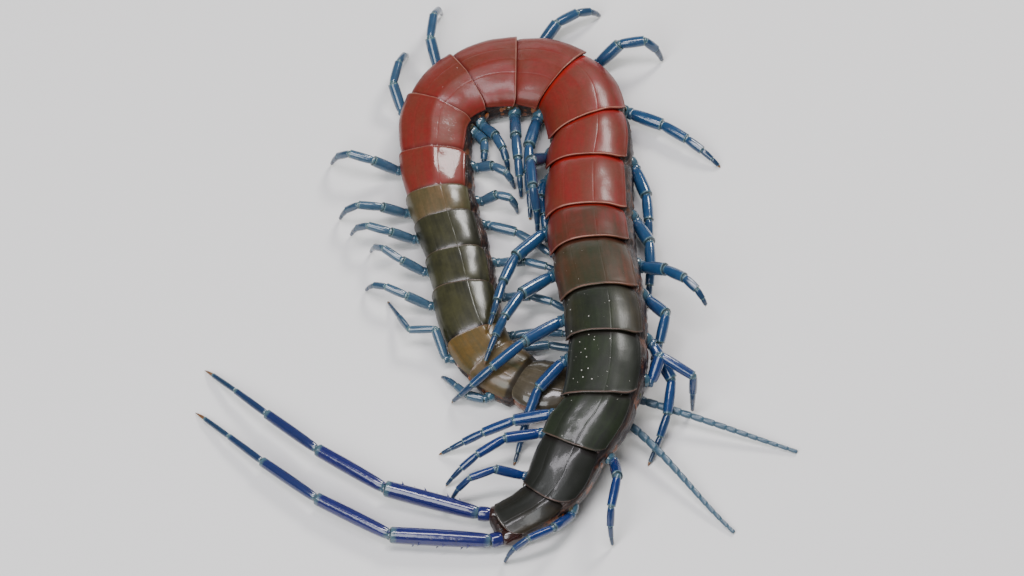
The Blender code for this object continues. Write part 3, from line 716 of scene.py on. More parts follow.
def section_point(along, across, lift, section):
    """A point on a section, from -1 on the right to 1 on the left, that stands off the surface by a lift."""
    places = np.linspace(0.0, 1.0, len(section))

    def at(share):
        return [float(np.interp(share, places, section[:, axis])) for axis in range(2)]

    here = abs(across)
    step = 1.0 / SECTION_STEPS
    side, height = at(here)
    low, high = at(max(here - step, 0.0)), at(min(here + step, 1.0))
    width = width_at(round(along, 2))
    tall = width * HEIGHT_TO_WIDTH
    out = Vector((0.0, 1.0))
    if here >= step:
        out = Vector(((low[1] - high[1]) * tall, (high[0] - low[0]) * width)).normalized()
    base, _, left, upward = stand(along)
    sideways = math.copysign(1.0, across) * (side * width + out.x * lift) + leaned(along, height, tall)
    return base + left * sideways + upward * (height * tall + out.y * lift)


def clamp(value):
    """A value kept between 0 and 1."""
    return min(max(value, 0.0), 1.0)


def beyond(value, start):
    """How far a value has gone from a start to 1 on either side, as a share."""
    return max(0.0, abs(value) - start) / (1.0 - start)


def fade(distance, reach):
    """A smooth bump that is 1 at no distance and fades over a reach."""
    return math.exp(-((distance / reach) ** 2))


# Meshes


def new_piece(name, mesh):
    """A finished piece's object at the origin."""
    piece = bpy.data.objects.new(name, mesh)
    bpy.context.scene.collection.objects.link(piece)
    return piece


def hand_over(piece, slot, *solids):
    """Give a piece its body and hide the solids that it replaces. The slot is not used."""
    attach(piece, "root")
    for solid in solids:
        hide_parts(solid)


def place(point):
    """A point of the model in metres."""
    return (Vector(point) + TO_ORIGIN) * MM


def settle(mesh):
    """Outward faces and smooth shading for a closed bmesh; returns it as a mesh."""
    bmesh.ops.recalc_face_normals(mesh, faces=mesh.faces[:])
    data = bpy.data.meshes.new("piece")
    mesh.to_mesh(data)
    mesh.free()
    data.shade_smooth()
    return data


def store(data, **fields):
    """Write a number, vector or colour a point for each field, which a node reads by its name."""
    for name, values in fields.items():
        values = np.array(values)
        if values.dtype.kind == "i":
            kind, field, exact = "INT", "value", np.int32
        else:
            kind, field = {3: ("FLOAT_VECTOR", "vector"), 4: ("FLOAT_COLOR", "color")}.get(
                values.shape[-1] if values.ndim > 1 else 1, ("FLOAT", "value")
            )
            exact = np.float32
        data.attributes.new(name, kind, "POINT").data.foreach_set(field, values.astype(exact).ravel())


def closed_grid(outer, inner, mesh=None):
    """A shell from two grids of equal size, joined round their edges, in its own or a given bmesh."""
    if mesh is None:
        mesh = bmesh.new()
    rows, columns = len(outer), len(outer[0])
    made = [[[mesh.verts.new(place(point)) for point in row] for row in grid] for grid in (outer, inner)]
    for grid in made:
        for row, after in zip(grid, grid[1:]):
            for column in range(columns - 1):
                mesh.faces.new((row[column], row[column + 1], after[column + 1], after[column]))
    top, under = made
    ring = [(0, column) for column in range(columns)]
    ring += [(row, columns - 1) for row in range(1, rows)]
    ring += [(rows - 1, column) for column in range(columns - 2, -1, -1)]
    ring += [(row, 0) for row in range(rows - 2, 0, -1)]
    for (row, column), (next_row, next_column) in zip(ring, ring[1:] + ring[:1]):
        after = (under[next_row][next_column], top[next_row][next_column])
        mesh.faces.new((top[row][column], under[row][column], *after))
    return mesh


def closed_loft(rings, spot=place):
    """A body through rings of equal count, closed by a fan at each end."""
    mesh = bmesh.new()
    made = [[mesh.verts.new(spot(point)) for point in ring] for ring in rings]
    count = len(made[0])
    pairs = [(index, (index + 1) % count) for index in range(count)]
    for low, high in zip(made, made[1:]):
        for here, after in pairs:
            mesh.faces.new((low[here], low[after], high[after], high[here]))
    for ring in (made[0], made[-1]):
        middle = mesh.verts.new(sum((vert.co for vert in ring), Vector()) / count)
        for here, after in pairs:
            mesh.faces.new((ring[here], ring[after], middle))
    return mesh


# Nodes and materials


def feed(tree, socket, value):
    """Link an output to a socket, or set the socket's own value."""
    if isinstance(value, bpy.types.NodeSocket):
        tree.links.new(value, socket)
    else:
        socket.default_value = (*value, 1.0) if socket.type == "RGBA" else value


def add_node(tree, kind, inputs, output=0, **settings):
    """A new node with its settings and its inputs set or linked; returns one of its outputs."""
    made = tree.nodes.new(kind)
    for key, value in settings.items():
        setattr(made, key, value)
    for key, value in inputs.items():
        feed(tree, made.inputs[key], value)
    return made.outputs[output]


class Finish:
    """A glossy cuticle material whose nodes are added one after another."""

    def __init__(self, name, roughness, coat=0.0, coat_roughness=0.05, specular=0.5):
        self.material = bpy.data.materials.new(name)
        self.material.use_nodes = True
        self.tree = self.material.node_tree
        self.set("Roughness", roughness)
        self.set("Coat Weight", coat)
        self.set("Coat Roughness", coat_roughness)
        self.set("Specular IOR Level", specular)
        self.where = self.node("ShaderNodeTexCoord", {}, "Object")

    def set(self, name, value):
        """Set or link an input of the material's shader."""
        feed(self.tree, self.tree.nodes["Principled BSDF"].inputs[name], value)

    def node(self, kind, inputs, output=0, **settings):
        return add_node(self.tree, kind, inputs, output, **settings)

    def attribute(self, name):
        """A number that is stored on the piece's points."""
        return self.node("ShaderNodeAttribute", {}, "Fac", attribute_name=name)

    def tint(self, name):
        """A colour that is stored on the piece's points."""
        return self.node("ShaderNodeAttribute", {}, "Color", attribute_name=name)

    def speckle(self, size, detail=3.0, roughness=0.55, where=None):
        """Noise whose blotches are about size metres across."""
        inputs = {"Vector": where or self.where, "Scale": 1.0 / size}
        return self.node("ShaderNodeTexNoise", {**inputs, "Detail": detail, "Roughness": roughness})

    def cells(self, size):
        """Distance from the middle of cells that are about size metres across."""
        return self.node("ShaderNodeTexVoronoi", {"Vector": self.where, "Scale": 1.0 / size})

    def ramp(self, value, *stops):
        """A smooth step from place to value, both from 0 to 1."""
        output = self.node("ShaderNodeValToRGB", {"Fac": value})
        band = output.node.color_ramp
        for index, (position, level) in enumerate(stops):
            stop = band.elements[index] if index < 2 else band.elements.new(position)
            stop.position = position
            stop.color = (level, level, level, 1.0)
        return output

    def maths(self, operation, first, second):
        return self.node("ShaderNodeMath", {0: first, 1: second}, operation=operation)

    def times(self, first, second):
        return self.maths("MULTIPLY", first, second)

    def mix(self, amount, first, second, most=None):
        """A colour between two others, by an amount or by a share of it."""
        if most is not None:
            amount = self.times(amount, most)
        return self.node("ShaderNodeMix", {0: amount, 6: first, 7: second}, 2, data_type="RGBA")

    def roughness(self, value, low, high):
        """Roughness that runs from low to high with a value."""
        inputs = {"Value": value, "To Min": low, "To Max": high}
        self.set("Roughness", self.node("ShaderNodeMapRange", inputs))

    def bump(self, height, depth, strength, under=None):
        """Relief of a depth in metres; under is a relief that it is laid on."""
        inputs = {"Height": height, "Distance": depth, "Strength": strength}
        if under is not None:
            inputs["Normal"] = under
        return self.node("ShaderNodeBump", inputs)

    def relief(self, output):
        """Lay a relief on the shell and on the gloss over it."""
        self.set("Normal", output)
        self.set("Coat Normal", output)


def shell_finish(name, gloss, haze, softness):
    """Hard glossy plates: mottled and streaked, with fine pits, a crisp rim and sparse pale specks."""
    made = Finish(name, haze, coat=gloss, coat_roughness=softness, specular=0.28)
    tint, second = made.tint("tint"), made.tint("second_tint")
    along, across = made.attribute("along"), made.attribute("across")
    blotches = made.ramp(made.speckle(BLOTCH_SIZE, 4.0, 0.6), (0.36, 0.0), (0.66, 1.0))
    drawn_out = {"X": made.times(across, 9.0), "Y": made.times(along, 0.8)}
    lengthwise = made.node("ShaderNodeCombineXYZ", drawn_out)
    streaks = made.speckle(1.0, 3.0, 0.5, lengthwise)
    base = made.mix(blotches, tint, second, 0.7)
    base = made.mix(made.ramp(streaks, (0.38, 0.0), (0.72, 0.6)), base, second)
    grain = made.ramp(made.speckle(GRAIN_SIZE, 5.0, 0.7), (0.3, 0.0), (0.75, 1.0))
    base = made.mix(grain, base, BLACK, 0.25)
    front = made.ramp(along, (0.0, 1.0), (0.115, 1.0), (0.17, 0.0))
    base = made.mix(front, base, made.tint("front_tint"), 0.8)
    rim = made.ramp(along, (0.974, 0.0), (0.982, 1.0), (0.993, 1.0), (0.998, 0.1))
    worn = made.ramp(made.speckle(WEAR_SIZE), (0.38, 0.25), (0.60, 1.0))
    base = made.mix(made.times(rim, worn), base, made.tint("rim_tint"), 0.75)
    dot = made.ramp(made.cells(SPECK_SIZE), (0.085, 1.0), (0.13, 0.0))
    bare = made.maths("SUBTRACT", 0.66, made.times(made.attribute("dust"), 0.26))
    specks = made.times(dot, made.maths("GREATER_THAN", made.speckle(SPECK_GROUP_SIZE, 5.0, 0.9), bare))
    made.set("Base Color", made.mix(specks, base, SPECK_TINT, 0.85))
    made.roughness(made.speckle(SHEEN_SIZE), haze - 0.07, haze + 0.09)
    pits = made.ramp(made.cells(PIT_SIZE), (0.06, 0.0), (0.32, 1.0))
    relief = made.bump(pits, PIT_DEPTH, 0.5)
    relief = made.bump(made.speckle(SWELL_SIZE, 3.0, 0.5), SWELL_DEPTH, 0.7, relief)
    made.relief(made.bump(specks, SPECK_DEPTH, 0.8, relief))
    return made.material


def skin_finish(settings):
    """Soft, dark sides with lengthwise wrinkles, a moist sheen and orange-brown patches."""
    made = Finish("Soft sides", 0.40, coat=0.35, coat_roughness=0.16, specular=0.3)
    place_on_skin = {
        "X": made.times(made.attribute("run"), 0.55),
        "Y": made.times(made.attribute("girth"), 26.0),
        "Z": made.attribute("side"),
    }
    folded = made.node("ShaderNodeCombineXYZ", place_on_skin)
    wrinkles = made.speckle(1.0, 5.0, 0.6, folded)
    wrinkles.node.inputs["Distortion"].default_value = 0.5
    patches = made.ramp(made.speckle(PATCH_SIZE, 4.0, 0.6), (0.56, 0.0), (0.64, 1.0))
    patches = made.times(patches, made.attribute("flank"))
    warm = made.mix(0.16, settings.side_skin, settings.side_spot)
    base = made.mix(made.ramp(wrinkles, (0.42, 0.0), (0.72, 1.0)), settings.side_skin, warm)
    made.set("Base Color", made.mix(patches, base, settings.side_spot, 0.75))
    made.roughness(wrinkles, 0.28, 0.52)
    relief = made.bump(wrinkles, WRINKLE_DEPTH, 0.9)
    made.relief(made.bump(made.speckle(SKIN_GRAIN_SIZE), SKIN_GRAIN_DEPTH, 0.7, relief))
    return made.material


def limb_finish(name, settings, roughness=0.2, coat=0.7):
    """Glossy jointed lengths: each length's tint between pale, slightly clear ends."""
    made = Finish(name, roughness, coat=coat)
    plain_reach = made.attribute("reach")
    waver = made.times(made.maths("SUBTRACT", made.speckle(0.0007), 0.5), 0.06)
    reach = made.maths("ADD", plain_reach, waver)
    tint = made.tint("tint")
    ends = made.ramp(reach, (0.0, 0.9), (0.035, 0.6), (0.07, 0.0), (0.925, 0.0), (0.955, 0.75), (1.0, 1.0))
    clear = made.times(ends, made.attribute("clear"))
    cloud = made.ramp(made.speckle(0.0011, 4.0, 0.6), (0.3, 0.0), (0.75, 1.0))
    shaded = made.mix(cloud, tint, made.mix(0.55, tint, BLACK), 0.45)
    base = made.mix(clear, shaded, settings.joint)
    line = made.ramp(plain_reach, (0.0, 1.0), (0.014, 0.0), (0.982, 0.0), (0.995, 1.0))
    made.set("Base Color", made.mix(line, base, JOINT_LINE_TINT, 0.7))
    made.set("Subsurface Weight", 0.08)
    made.set("Subsurface Scale", 0.0006)
    relief = made.bump(made.speckle(0.00035, 4.0, 0.6), 0.00001, 0.6)
    made.relief(made.bump(made.speckle(0.0015), 0.00007, 0.7, relief))
    return made.material


def plain_finish(name, tint, roughness, coat, size, depth):
    """One mottled cuticle colour with soft relief."""
    made = Finish(name, roughness, coat=coat, coat_roughness=0.06)
    cloud = made.speckle(size, 4.0, 0.6)
    made.set("Base Color", made.mix(cloud, tint, made.mix(0.7, tint, BLACK), 0.4))
    made.relief(made.bump(made.speckle(size / 3, 4.0, 0.6), depth, 0.8))
    return made.material


# Back plates, belly plates and the soft sides


def groove_share(v):
    """How deep a fine groove is at a place across a shell, as a share of its depth."""
    return max(0.0, 1.0 - abs(abs(v) - GROOVE_AT) / GROOVE_HALF)


def store_shell(data, tints, second, rim, front, alongs, acrosses, dust):
    """Store what the finish of a shell reads, once for its outer and once for its inner grid."""
    count = len(alongs) * 2
    store(
        data,
        tint=tints * 2,
        second_tint=[(*second, 1.0)] * count,
        rim_tint=[(*rim, 1.0)] * count,
        front_tint=[(*front, 1.0)] * count,
        along=alongs * 2,
        across=acrosses * 2,
        dust=dust * 2,
    )


def back_plate(plate, settings):
    """One back plate: a thin arched shell, tucked in front, with a raised rim behind and at its sides."""
    start = edge(plate - 1) - (settings.tuck / MM if plate > 1 else 0.0)
    end = edge(plate) + (TAIL_REACH * LAST_PLATE_SHARE if plate == PLATE_COUNT else 0.0)
    names = PLATE_TINTS.get(plate, ("maroon", "russet", "maroon"))
    middle, second, side = (np.array(getattr(settings, name)[:]) for name in names)
    strength, base, front = RIMS.get(plate, FAINT_RIM)
    outer, inner, tints, alongs, acrosses = [], [], [], [], []
    for u in PLATE_ROWS:
        row, under = [], []
        thickness = settings.plate_thickness / MM * (1.0 if u < RIM_FROM else RIM_THINNING)
        for v in COLUMNS:
            rear = end - settings.corner / MM * beyond(v, CORNER_FROM) ** 2
            rear -= REAR_BOWS.get(plate, 0.0) * abs(v) ** 2.4
            along = start + u * (rear - start)
            lift = read(PLATE_RISE, u) + read(MARGIN_RISE, abs(v)) * min(1.0, plate / FULL_MARGIN_FROM)
            lift -= FLARE * (1.0 - u) ** 1.5 * beyond(v, FLARE_FROM)
            lift -= settings.groove / MM * groove_share(v)
            section = back_section(round(along, 1))
            right, left = margins(along)
            at = (v + 1.0) / 2 * (left + right) - right
            point = section_point(along, at, lift, section)
            swell = noise.noise(point * 0.42 + Vector((plate * 7.3, 0.0, 0.0)))
            fine = noise.noise(point * 1.3 + Vector((0.0, plate * 3.1, 0.0)))
            lift += settings.unevenness / MM * (swell + 0.35 * fine)
            row.append(section_point(along, at, lift, section))
            under.append(section_point(along, at, lift - thickness, section))
            sideness = abs(v) ** 1.7
            tints.append((*(middle * (1.0 - sideness) + side * sideness), 1.0))
            alongs.append(u)
            acrosses.append(v)
        outer.append(row)
        inner.append(under)
    data = settle(closed_grid(outer, inner))
    rim = [strength * value + base for value in settings.rim]
    dust = [DUST.get(plate, FAINT_DUST) * (1.3 + value) / 2 for value in acrosses]
    store_shell(data, tints, second, rim, front, alongs, acrosses, dust)
    return new_piece(f"back_plate_{plate:02d}", data)


def shell_slot(plate):
    """The record's slot for a plate's region."""
    if plate <= 6:
        return "shell_olive"
    return "shell_red" if plate <= 15 else "shell_dark"


class CENTIPEDE_OT_back_plates(bpy.types.Operator):
    """Add the overlapping back plates from the neck to the tail"""

    bl_idname = "centipede.back_plates"
    bl_label = "Back plates"

    def execute(self, context):
        finishes = {name: shell_finish(*look) for name, look in SHELL_FINISHES.items()}
        for plate in range(1, PLATE_COUNT + 1):
            piece = back_plate(plate, context.scene.centipede_shell)
            slot = shell_slot(plate)
            piece.data.materials.append(finishes[SATIN_PLATES.get(plate, slot)])
            hand_over(piece, slot)
        return {"FINISHED"}


def belly_plates():
    """The flat belly plates, each a thin closed shell with rounded corners, in one mesh."""
    mesh = bmesh.new()
    for plate in range(1, PLATE_COUNT + 1):
        start, end = edge(plate - 1) + 0.25, edge(plate) - 0.15
        half = 0.30 if plate < PLATE_COUNT else 0.24
        outer, inner = [], []
        for u in np.linspace(0.0, 1.0, 13):
            row, above = [], []
            for v in np.linspace(-1.0, 1.0, 17):
                pull = 0.12 * beyond(v, 0.7) * (2.0 * abs(u - 0.5)) ** 6
                along = start + u * (end - start)
                base, _, left, upward = stand(along)
                width = width_at(round(along, 2))
                side = v * half * width * (1.0 - pull)
                shift = leaned(along, 0.0, width * HEIGHT_TO_WIDTH)
                rise = BELLY_EDGE_RISE * (beyond(v, 0.85) + beyond(2.0 * u - 1.0, 0.85))
                row.append(base + left * (side + shift) + upward * rise)
                above.append(row[-1] + upward * BELLY_THICKNESS)
            outer.append(row)
            inner.append(above)
        closed_grid(outer, inner, mesh)
    return new_piece("belly_plates", settle(mesh))


class CENTIPEDE_OT_belly_plates(bpy.types.Operator):
    """Add the flat belly plates"""

    bl_idname = "centipede.belly_plates"
    bl_label = "Belly plates"

    def execute(self, context):
        tint = context.scene.centipede_shell.belly
        piece = belly_plates()
        piece.data.materials.append(plain_finish("Belly plates", tint, 0.3, 0.4, 0.002, 0.00005))
        hand_over(piece, "shell_olive")
        return {"FINISHED"}


def soft_sides(settings):
    """The soft skin of the whole trunk, pinched at each plate's edge and folded along its flanks."""
    covered, shown = even_section(COVERED_SKIN), even_section(SHOWN_SKIN)
    half = np.linspace(0.0, 1.0, SKIN_COLUMNS)
    places = list(SKIN_NECK)
    for plate in range(1, PLATE_COUNT + 1):
        places += [(along, 1.0) for along in np.linspace(edge(plate - 1), edge(plate), SKIN_ROWS)[:-1]]
    places += [(edge(PLATE_COUNT) + behind, size) for behind, size in SKIN_TAIL]
    rings, flanks, runs, girths, turns = [], [], [], [], []
    for along, size in places:
        nearest = float(np.min(np.abs(course().edges - along)))
        pinch = -PINCH * fade(nearest, PINCH_REACH)
        tuck = -SKIN_TUCK * fade(nearest, SKIN_TUCK_REACH)
        roll = between_edges(along, ROLLS)
        base, _, _, upward = stand(along)
        middle = base + upward * (width_at(round(float(along), 2)) * HEIGHT_TO_WIDTH * 0.5)
        ring = []
        for v in [*half, *(-half[1:-1])[::-1]]:
            here = abs(v)
            sign = 1.0 if v >= 0.0 else -1.0
            flank = fade(here - FLANK_AT, FLANK_REACH)
            fold = math.sin(along * 4.4 + here * 9.0) * 0.5 + noise.noise(Vector((along * 1.1, v * 7.0, 0.0)))
            upper = clamp((UPPER_SKIN_TO - here) / UPPER_SKIN_FADE)
            lift = flank * (pinch + settings.folds / MM * fold) + tuck * upper
            bare = clamp(roll * sign)
            point = section_point(along, v, lift, covered * (1.0 - bare) + shown * bare)
            ring.append(middle + (point - middle) * size)
            flanks.append(flank)
            runs.append(float(along))
            girths.append(float(here))
            turns.append(sign * SIDE_SHIFT)
        rings.append(ring)
    data = settle(closed_loft(rings))
    ends = [0.0, 0.0]
    store(data, flank=flanks + ends, run=runs + ends, girth=girths + ends, side=turns + ends)
    return new_piece("soft_sides", data)


class CENTIPEDE_OT_soft_sides(bpy.types.Operator):
    """Add the soft skin between back plates, belly plates and legs"""

    bl_idname = "centipede.soft_sides"
    bl_label = "Soft sides"

    def execute(self, context):
        settings = context.scene.centipede_shell
        piece = soft_sides(settings)
        piece.data.materials.append(skin_finish(settings))
        lasts = range(PLATES_PER_LENGTH, PLATE_COUNT + 1, PLATES_PER_LENGTH)
        trunk = [f"trunk_{last - PLATES_PER_LENGTH + 1:02d}_{last:02d}" for last in lasts]
        hand_over(piece, "shell_dark", *trunk)
        return {"FINISHED"}


# Lines of jointed lengths, by Geometry Nodes


def lengths_tree():
    """A node tree that sets a shape of a collection on each point, turned and sized by the point."""
    name = "Lengths on a line"
    if name in bpy.data.node_groups:
        return bpy.data.node_groups[name]
    tree = bpy.data.node_groups.new(name, "GeometryNodeTree")
    for way, socket, kind in (
        ("INPUT", "Geometry", "Geometry"),
        ("INPUT", "Shapes", "Collection"),
        ("INPUT", "Fullness", "Float"),
        ("INPUT", "Material", "Material"),
        ("OUTPUT", "Geometry", "Geometry"),
    ):
        tree.interface.new_socket(socket, in_out=way, socket_type=f"NodeSocket{kind}")
    tree.interface.items_tree["Fullness"].default_value = 1.0
    given = tree.nodes.new("NodeGroupInput").outputs
    children = {"Collection": given["Shapes"], "Separate Children": True, "Reset Children": True}
    shapes = add_node(tree, "GeometryNodeCollectionInfo", children)
    kind, turn, size = (
        add_node(tree, "GeometryNodeInputNamedAttribute", {"Name": field}, "Attribute", data_type=values)
        for field, values in (("kind", "INT"), ("turn", "FLOAT_VECTOR"), ("size", "FLOAT_VECTOR"))
    )
    turned = add_node(tree, "FunctionNodeEulerToRotation", {0: turn})
    girth = add_node(tree, "ShaderNodeCombineXYZ", {"X": given["Fullness"], "Y": given["Fullness"], "Z": 1.0})
    sized = add_node(tree, "ShaderNodeVectorMath", {0: size, 1: girth}, operation="MULTIPLY")
    set_shapes = {
        "Points": given["Geometry"],
        "Instance": shapes,
        "Pick Instance": True,
        "Instance Index": kind,
        "Rotation": turned,
        "Scale": sized,
    }
    instances = add_node(tree, "GeometryNodeInstanceOnPoints", set_shapes)
    whole = add_node(tree, "GeometryNodeRealizeInstances", {"Geometry": instances})
    coated = add_node(tree, "GeometryNodeSetMaterial", {"Geometry": whole, "Material": given["Material"]})
    feed(tree, tree.nodes.new("NodeGroupOutput").inputs["Geometry"], coated)
    return tree


def unit_shape(number, name, sides):
    """One shape of the collection, turned round its axis and closed at both ends."""
    profile = SHAPES[name] if name == "ball" else rounded(SHAPES[name], 1)
    rings, reaches = [], []
    for high, radius in profile:
        bend = HOOK_BEND * high * high if name == "hook" else 0.0
        turns = [2 * math.pi * index / sides for index in range(sides)]
        rings.append([(radius * math.cos(turn) - bend, radius * math.sin(turn), high) for turn in turns])
        reaches += [clamp(high)] * sides
    data = settle(closed_loft(rings, Vector))
    store(data, reach=[*reaches, reaches[0], reaches[-1]])
    return bpy.data.objects.new(f"shape_{number:02d}_{name}", data)


def shapes_collection(sides):
    """The collection of all shapes, in the order of their kinds."""
    name = f"Length shapes {sides}"
    if name in bpy.data.collections:
        return bpy.data.collections[name]
    made = bpy.data.collections.new(name)
    for number, shape in enumerate(SHAPES):
        made.objects.link(unit_shape(number, shape, sides))
    return made


def turned_along(axis, sideways=None):
    """Turns that lay a shape's own axis along a way, with its side edge level or along another way."""
    axis = axis.normalized()
    level = (sideways if sideways is not None else UP.cross(axis)).normalized()
    if sideways is None and abs(axis.z) > NEARLY_UPRIGHT:
        level = Vector((1.0, 0.0, 0.0))
    level = (level - axis * level.dot(axis)).normalized()
    return Matrix((level, axis.cross(level), axis)).transposed().to_euler("XYZ")


class Line:
    """Lengths that a node tree will set on points, each with its shape, size, turn, tint and clear ends."""

    def __init__(self):
        self.points, self.kinds, self.turns, self.sizes, self.tints, self.clears = [], [], [], [], [], []

    def add(self, kind, start, axis, size, tint, clear=0.0, sideways=None):
        self.points.append(place(start))
        self.kinds.append(list(SHAPES).index(kind))
        self.turns.append(turned_along(axis, sideways)[:])
        self.sizes.append([value * MM for value in size])
        self.tints.append((*tint[:], 1.0))
        self.clears.append(clear)

    def length(self, kind, start, end, radius, tint, clear=0.0, flat=1.0, sideways=None):
        """One length from joint to joint."""
        size = (radius * flat, radius, (end - start).length)
        self.add(kind, start, end - start, size, tint, clear, sideways)

    def ball(self, middle, radius, tint):
        self.add("ball", middle, UP, (radius, radius, radius), tint)

    def thorn(self, start, axis, girth, reach, tint):
        self.add("thorn", start, axis, (girth, girth, reach), tint)

    def piece(self, name, sides, material):
        """The finished piece: the tree's result as a plain mesh."""
        data = bpy.data.meshes.new(f"{name}_points")
        data.from_pydata(self.points, [], [])
        store(data, kind=self.kinds, turn=self.turns, size=self.sizes, tint=self.tints, clear=self.clears)
        holder = new_piece(f"{name}_points", data)
        modifier = holder.modifiers.new("Lengths", "NODES")
        modifier.node_group = lengths_tree()
        fullness = bpy.context.scene.centipede_limbs.fullness
        given = {"Shapes": shapes_collection(sides), "Material": material, "Fullness": fullness}
        for socket in modifier.node_group.interface.items_tree:
            if socket.in_out == "INPUT" and socket.name in given:
                modifier[socket.identifier] = given[socket.name]
        graph = bpy.context.evaluated_depsgraph_get()
        mesh = bpy.data.meshes.new_from_object(holder.evaluated_get(graph), depsgraph=graph)
        bpy.data.objects.remove(holder)
        for vertex in mesh.vertices:
            vertex.co.z = max(vertex.co.z, 0.0)
        if not mesh.polygons:
            raise RuntimeError(f"{name} has no faces")
        return new_piece(name, mesh)


# Legs


def leg_radius(plate):
    return LEG_THICKNESS * PLATES[plate - 1].width / 2


def leg_length(plate):
    return read(LEG_LENGTHS, plate) * PLATES[plate - 1].width


def leg_along(plate):
    """Distance from the neck to the middle of a walking leg's root."""
    return edge(plate) - ROOT_MARGIN - ROOT_SWELL * leg_radius(plate)


def leg_stance(plate, side):
    """Where a walking leg leaves the trunk, the way out of it, and its stance."""
    stance = STANCES.get((side, plate))
    along = leg_along(plate) + (stance.shift if stance else 0.0)
    _, tailwards, left, _ = stand_at(along)
    root = on_trunk(along, SIDES[side] * ROOT_SIDE, ROOT_HEIGHT, stand_at)
    away = left * SIDES[side]
    stance = stance or free_stance(plate, side, root, away, tailwards)
    towards = (Vector((stance.east, stance.north, stance.up)) - root).normalized()
    return root, (away + towards * stance.lean).normalized(), stance


def free_stance(plate, side, root, away, tailwards):
    """A leg that nothing crowds: outwards and swung back, in a wave along the body."""
    wave = math.sin(2 * math.pi * plate / FREE_WAVE_LEGS + (0.0 if side == "left" else math.pi))
    swing = math.radians(FREE_SWING + FREE_SWING_WAVE * wave)
    flat = away * math.cos(swing) + tailwards * math.sin(swing)
    foot = root + Vector((flat.x, flat.y, 0.0)).normalized() * (FREE_REACH * leg_length(plate))
    return Stance(foot.x, foot.y, bow=-FREE_BOW * SIDES[side])


def curve(start, first, second, end, steps):
    """Points along the smooth curve that leaves start towards first and reaches end from second."""
    points = []
    for index in range(steps + 1):
        t = index / steps
        u = 1.0 - t
        points.append(start * u**3 + first * (3 * t * u * u) + second * (3 * t * t * u) + end * t**3)
    return points


def bent_line(start, outward, foot, length, bow, drop=FOOT_DROP):
    """A leg's line from its root to its foot: an arch just high enough to be as long as the leg."""
    flat = Vector((foot.x - start.x, foot.y - start.y, 0.0))
    sideways = Vector((-flat.y, flat.x, 0.0)).normalized() * (bow * length)

    def arch(lift):
        first = start + outward * (ARCH_FIRST * length) + UP * (ARCH_RISE * lift) + sideways
        second = foot - flat * ARCH_LAST + UP * (drop + lift) + sideways
        return curve(start, first, second, foot, ARCH_STEPS)

    low, high = 0.0, ARCH_LIMIT * length
    for _ in range(ARCH_TRIES):
        middle = (low + high) / 2
        points = arch(middle)
        if sum((b - a).length for a, b in zip(points, points[1:])) < length:
            low = middle
        else:
            high = middle
    return arch((low + high) / 2)


def leg_joints(line, lengths):
    """The joints of a leg along its line, from the first one at the trunk to the tip of the claw."""
    steps = np.concatenate([[0.0], np.cumsum([(b - a).length for a, b in zip(line, line[1:])])])
    shares = np.concatenate([[0.0], np.cumsum([part.share for part in lengths])])
    stops = shares / sum(part.share for part in lengths) * steps[-1]
    places = np.array(line)
    return [Vector([np.interp(stop, steps, places[:, axis]) for axis in range(3)]) for stop in stops]


def rear_root(side):
    """Where a long rear leg leaves the blunt end, and the way out of it, both swung to the left."""
    along = edge(PLATE_COUNT) + REAR_ROOT_BEHIND
    _, tailwards, left, _ = stand_at(along)
    turn = math.radians(REAR_ROOT_TURNS[side])
    root = on_trunk(along, SIDES[side] * REAR_ROOT_SIDE, REAR_ROOT_HEIGHT, stand_at)
    outward = tailwards * math.cos(turn) + left * math.sin(turn)
    return root, Vector((outward.x, outward.y, 0.0)).normalized()


def leg_line(plate, side):
    """The root, way out, joints, lengths and near radius of any leg."""
    if plate == PLATE_COUNT:
        root, outward = rear_root(side)
        start = root + outward * (REAR_ROOT_REACH + GAP)
        east, north, up, bow = REAR_FEET[side]
        foot = Vector((east, north, up))
        line = bent_line(start, outward, foot, (foot - start).length * REAR_SLACK, bow, REAR_FOOT_DROP)
        return root, outward, leg_joints(line, TRAILING), TRAILING, REAR_LEG_WIDTH / 2
    root, outward, stance = leg_stance(plate, side)
    start = root + outward * (ROOT_REACH + GAP)
    foot = Vector((stance.east, stance.north, stance.up))
    if stance.knees:
        knees = [Vector(knee) for knee in stance.knees]
        joints = [start, *knees[:-1], *leg_joints([knees[-1], foot], WALKING[len(knees):])]
    else:
        line = bent_line(start, outward, foot, leg_length(plate) * stance.share, stance.bow)
        joints = leg_joints(line, WALKING)
    return root, outward, joints, WALKING, leg_radius(plate)


def leg_tint(plate, settings):
    """Walking legs deepen towards the tail, and the long rear legs are violet."""
    if plate == PLATE_COUNT:
        return Vector(settings.violet)
    if plate < DEEPER_LEGS_FROM:
        return Vector(settings.steel).lerp(Vector(settings.blue), clamp((plate - 6) / 6) * 0.7 + 0.3)
    return Vector(settings.blue).lerp(Vector(settings.deep_blue), clamp((plate - 15) / 4))


def leg_root(line, plate, root, outward, start, radius, settings):
    """A leg's root block, set into the trunk's side, and the collar between it and the first joint."""
    tint = leg_tint(plate, settings)
    made, looks = WALKING_ROOT, ((settings.root, 0.3), (Vector(settings.root).lerp(tint, 0.45), 0.8))
    if plate == PLATE_COUNT:
        made, looks = REAR_ROOT, ((REAR_BLOCK_TINT, 0.0), (tint, 0.5))
    ends = (root - outward * made.inside, root + outward * made.outside)
    line.length("coxa", *ends, radius * made.block, *looks[0])
    ends = (root + outward * made.collar_at, start + outward * made.past)
    line.length("collar", *ends, radius * made.collar, *looks[1])


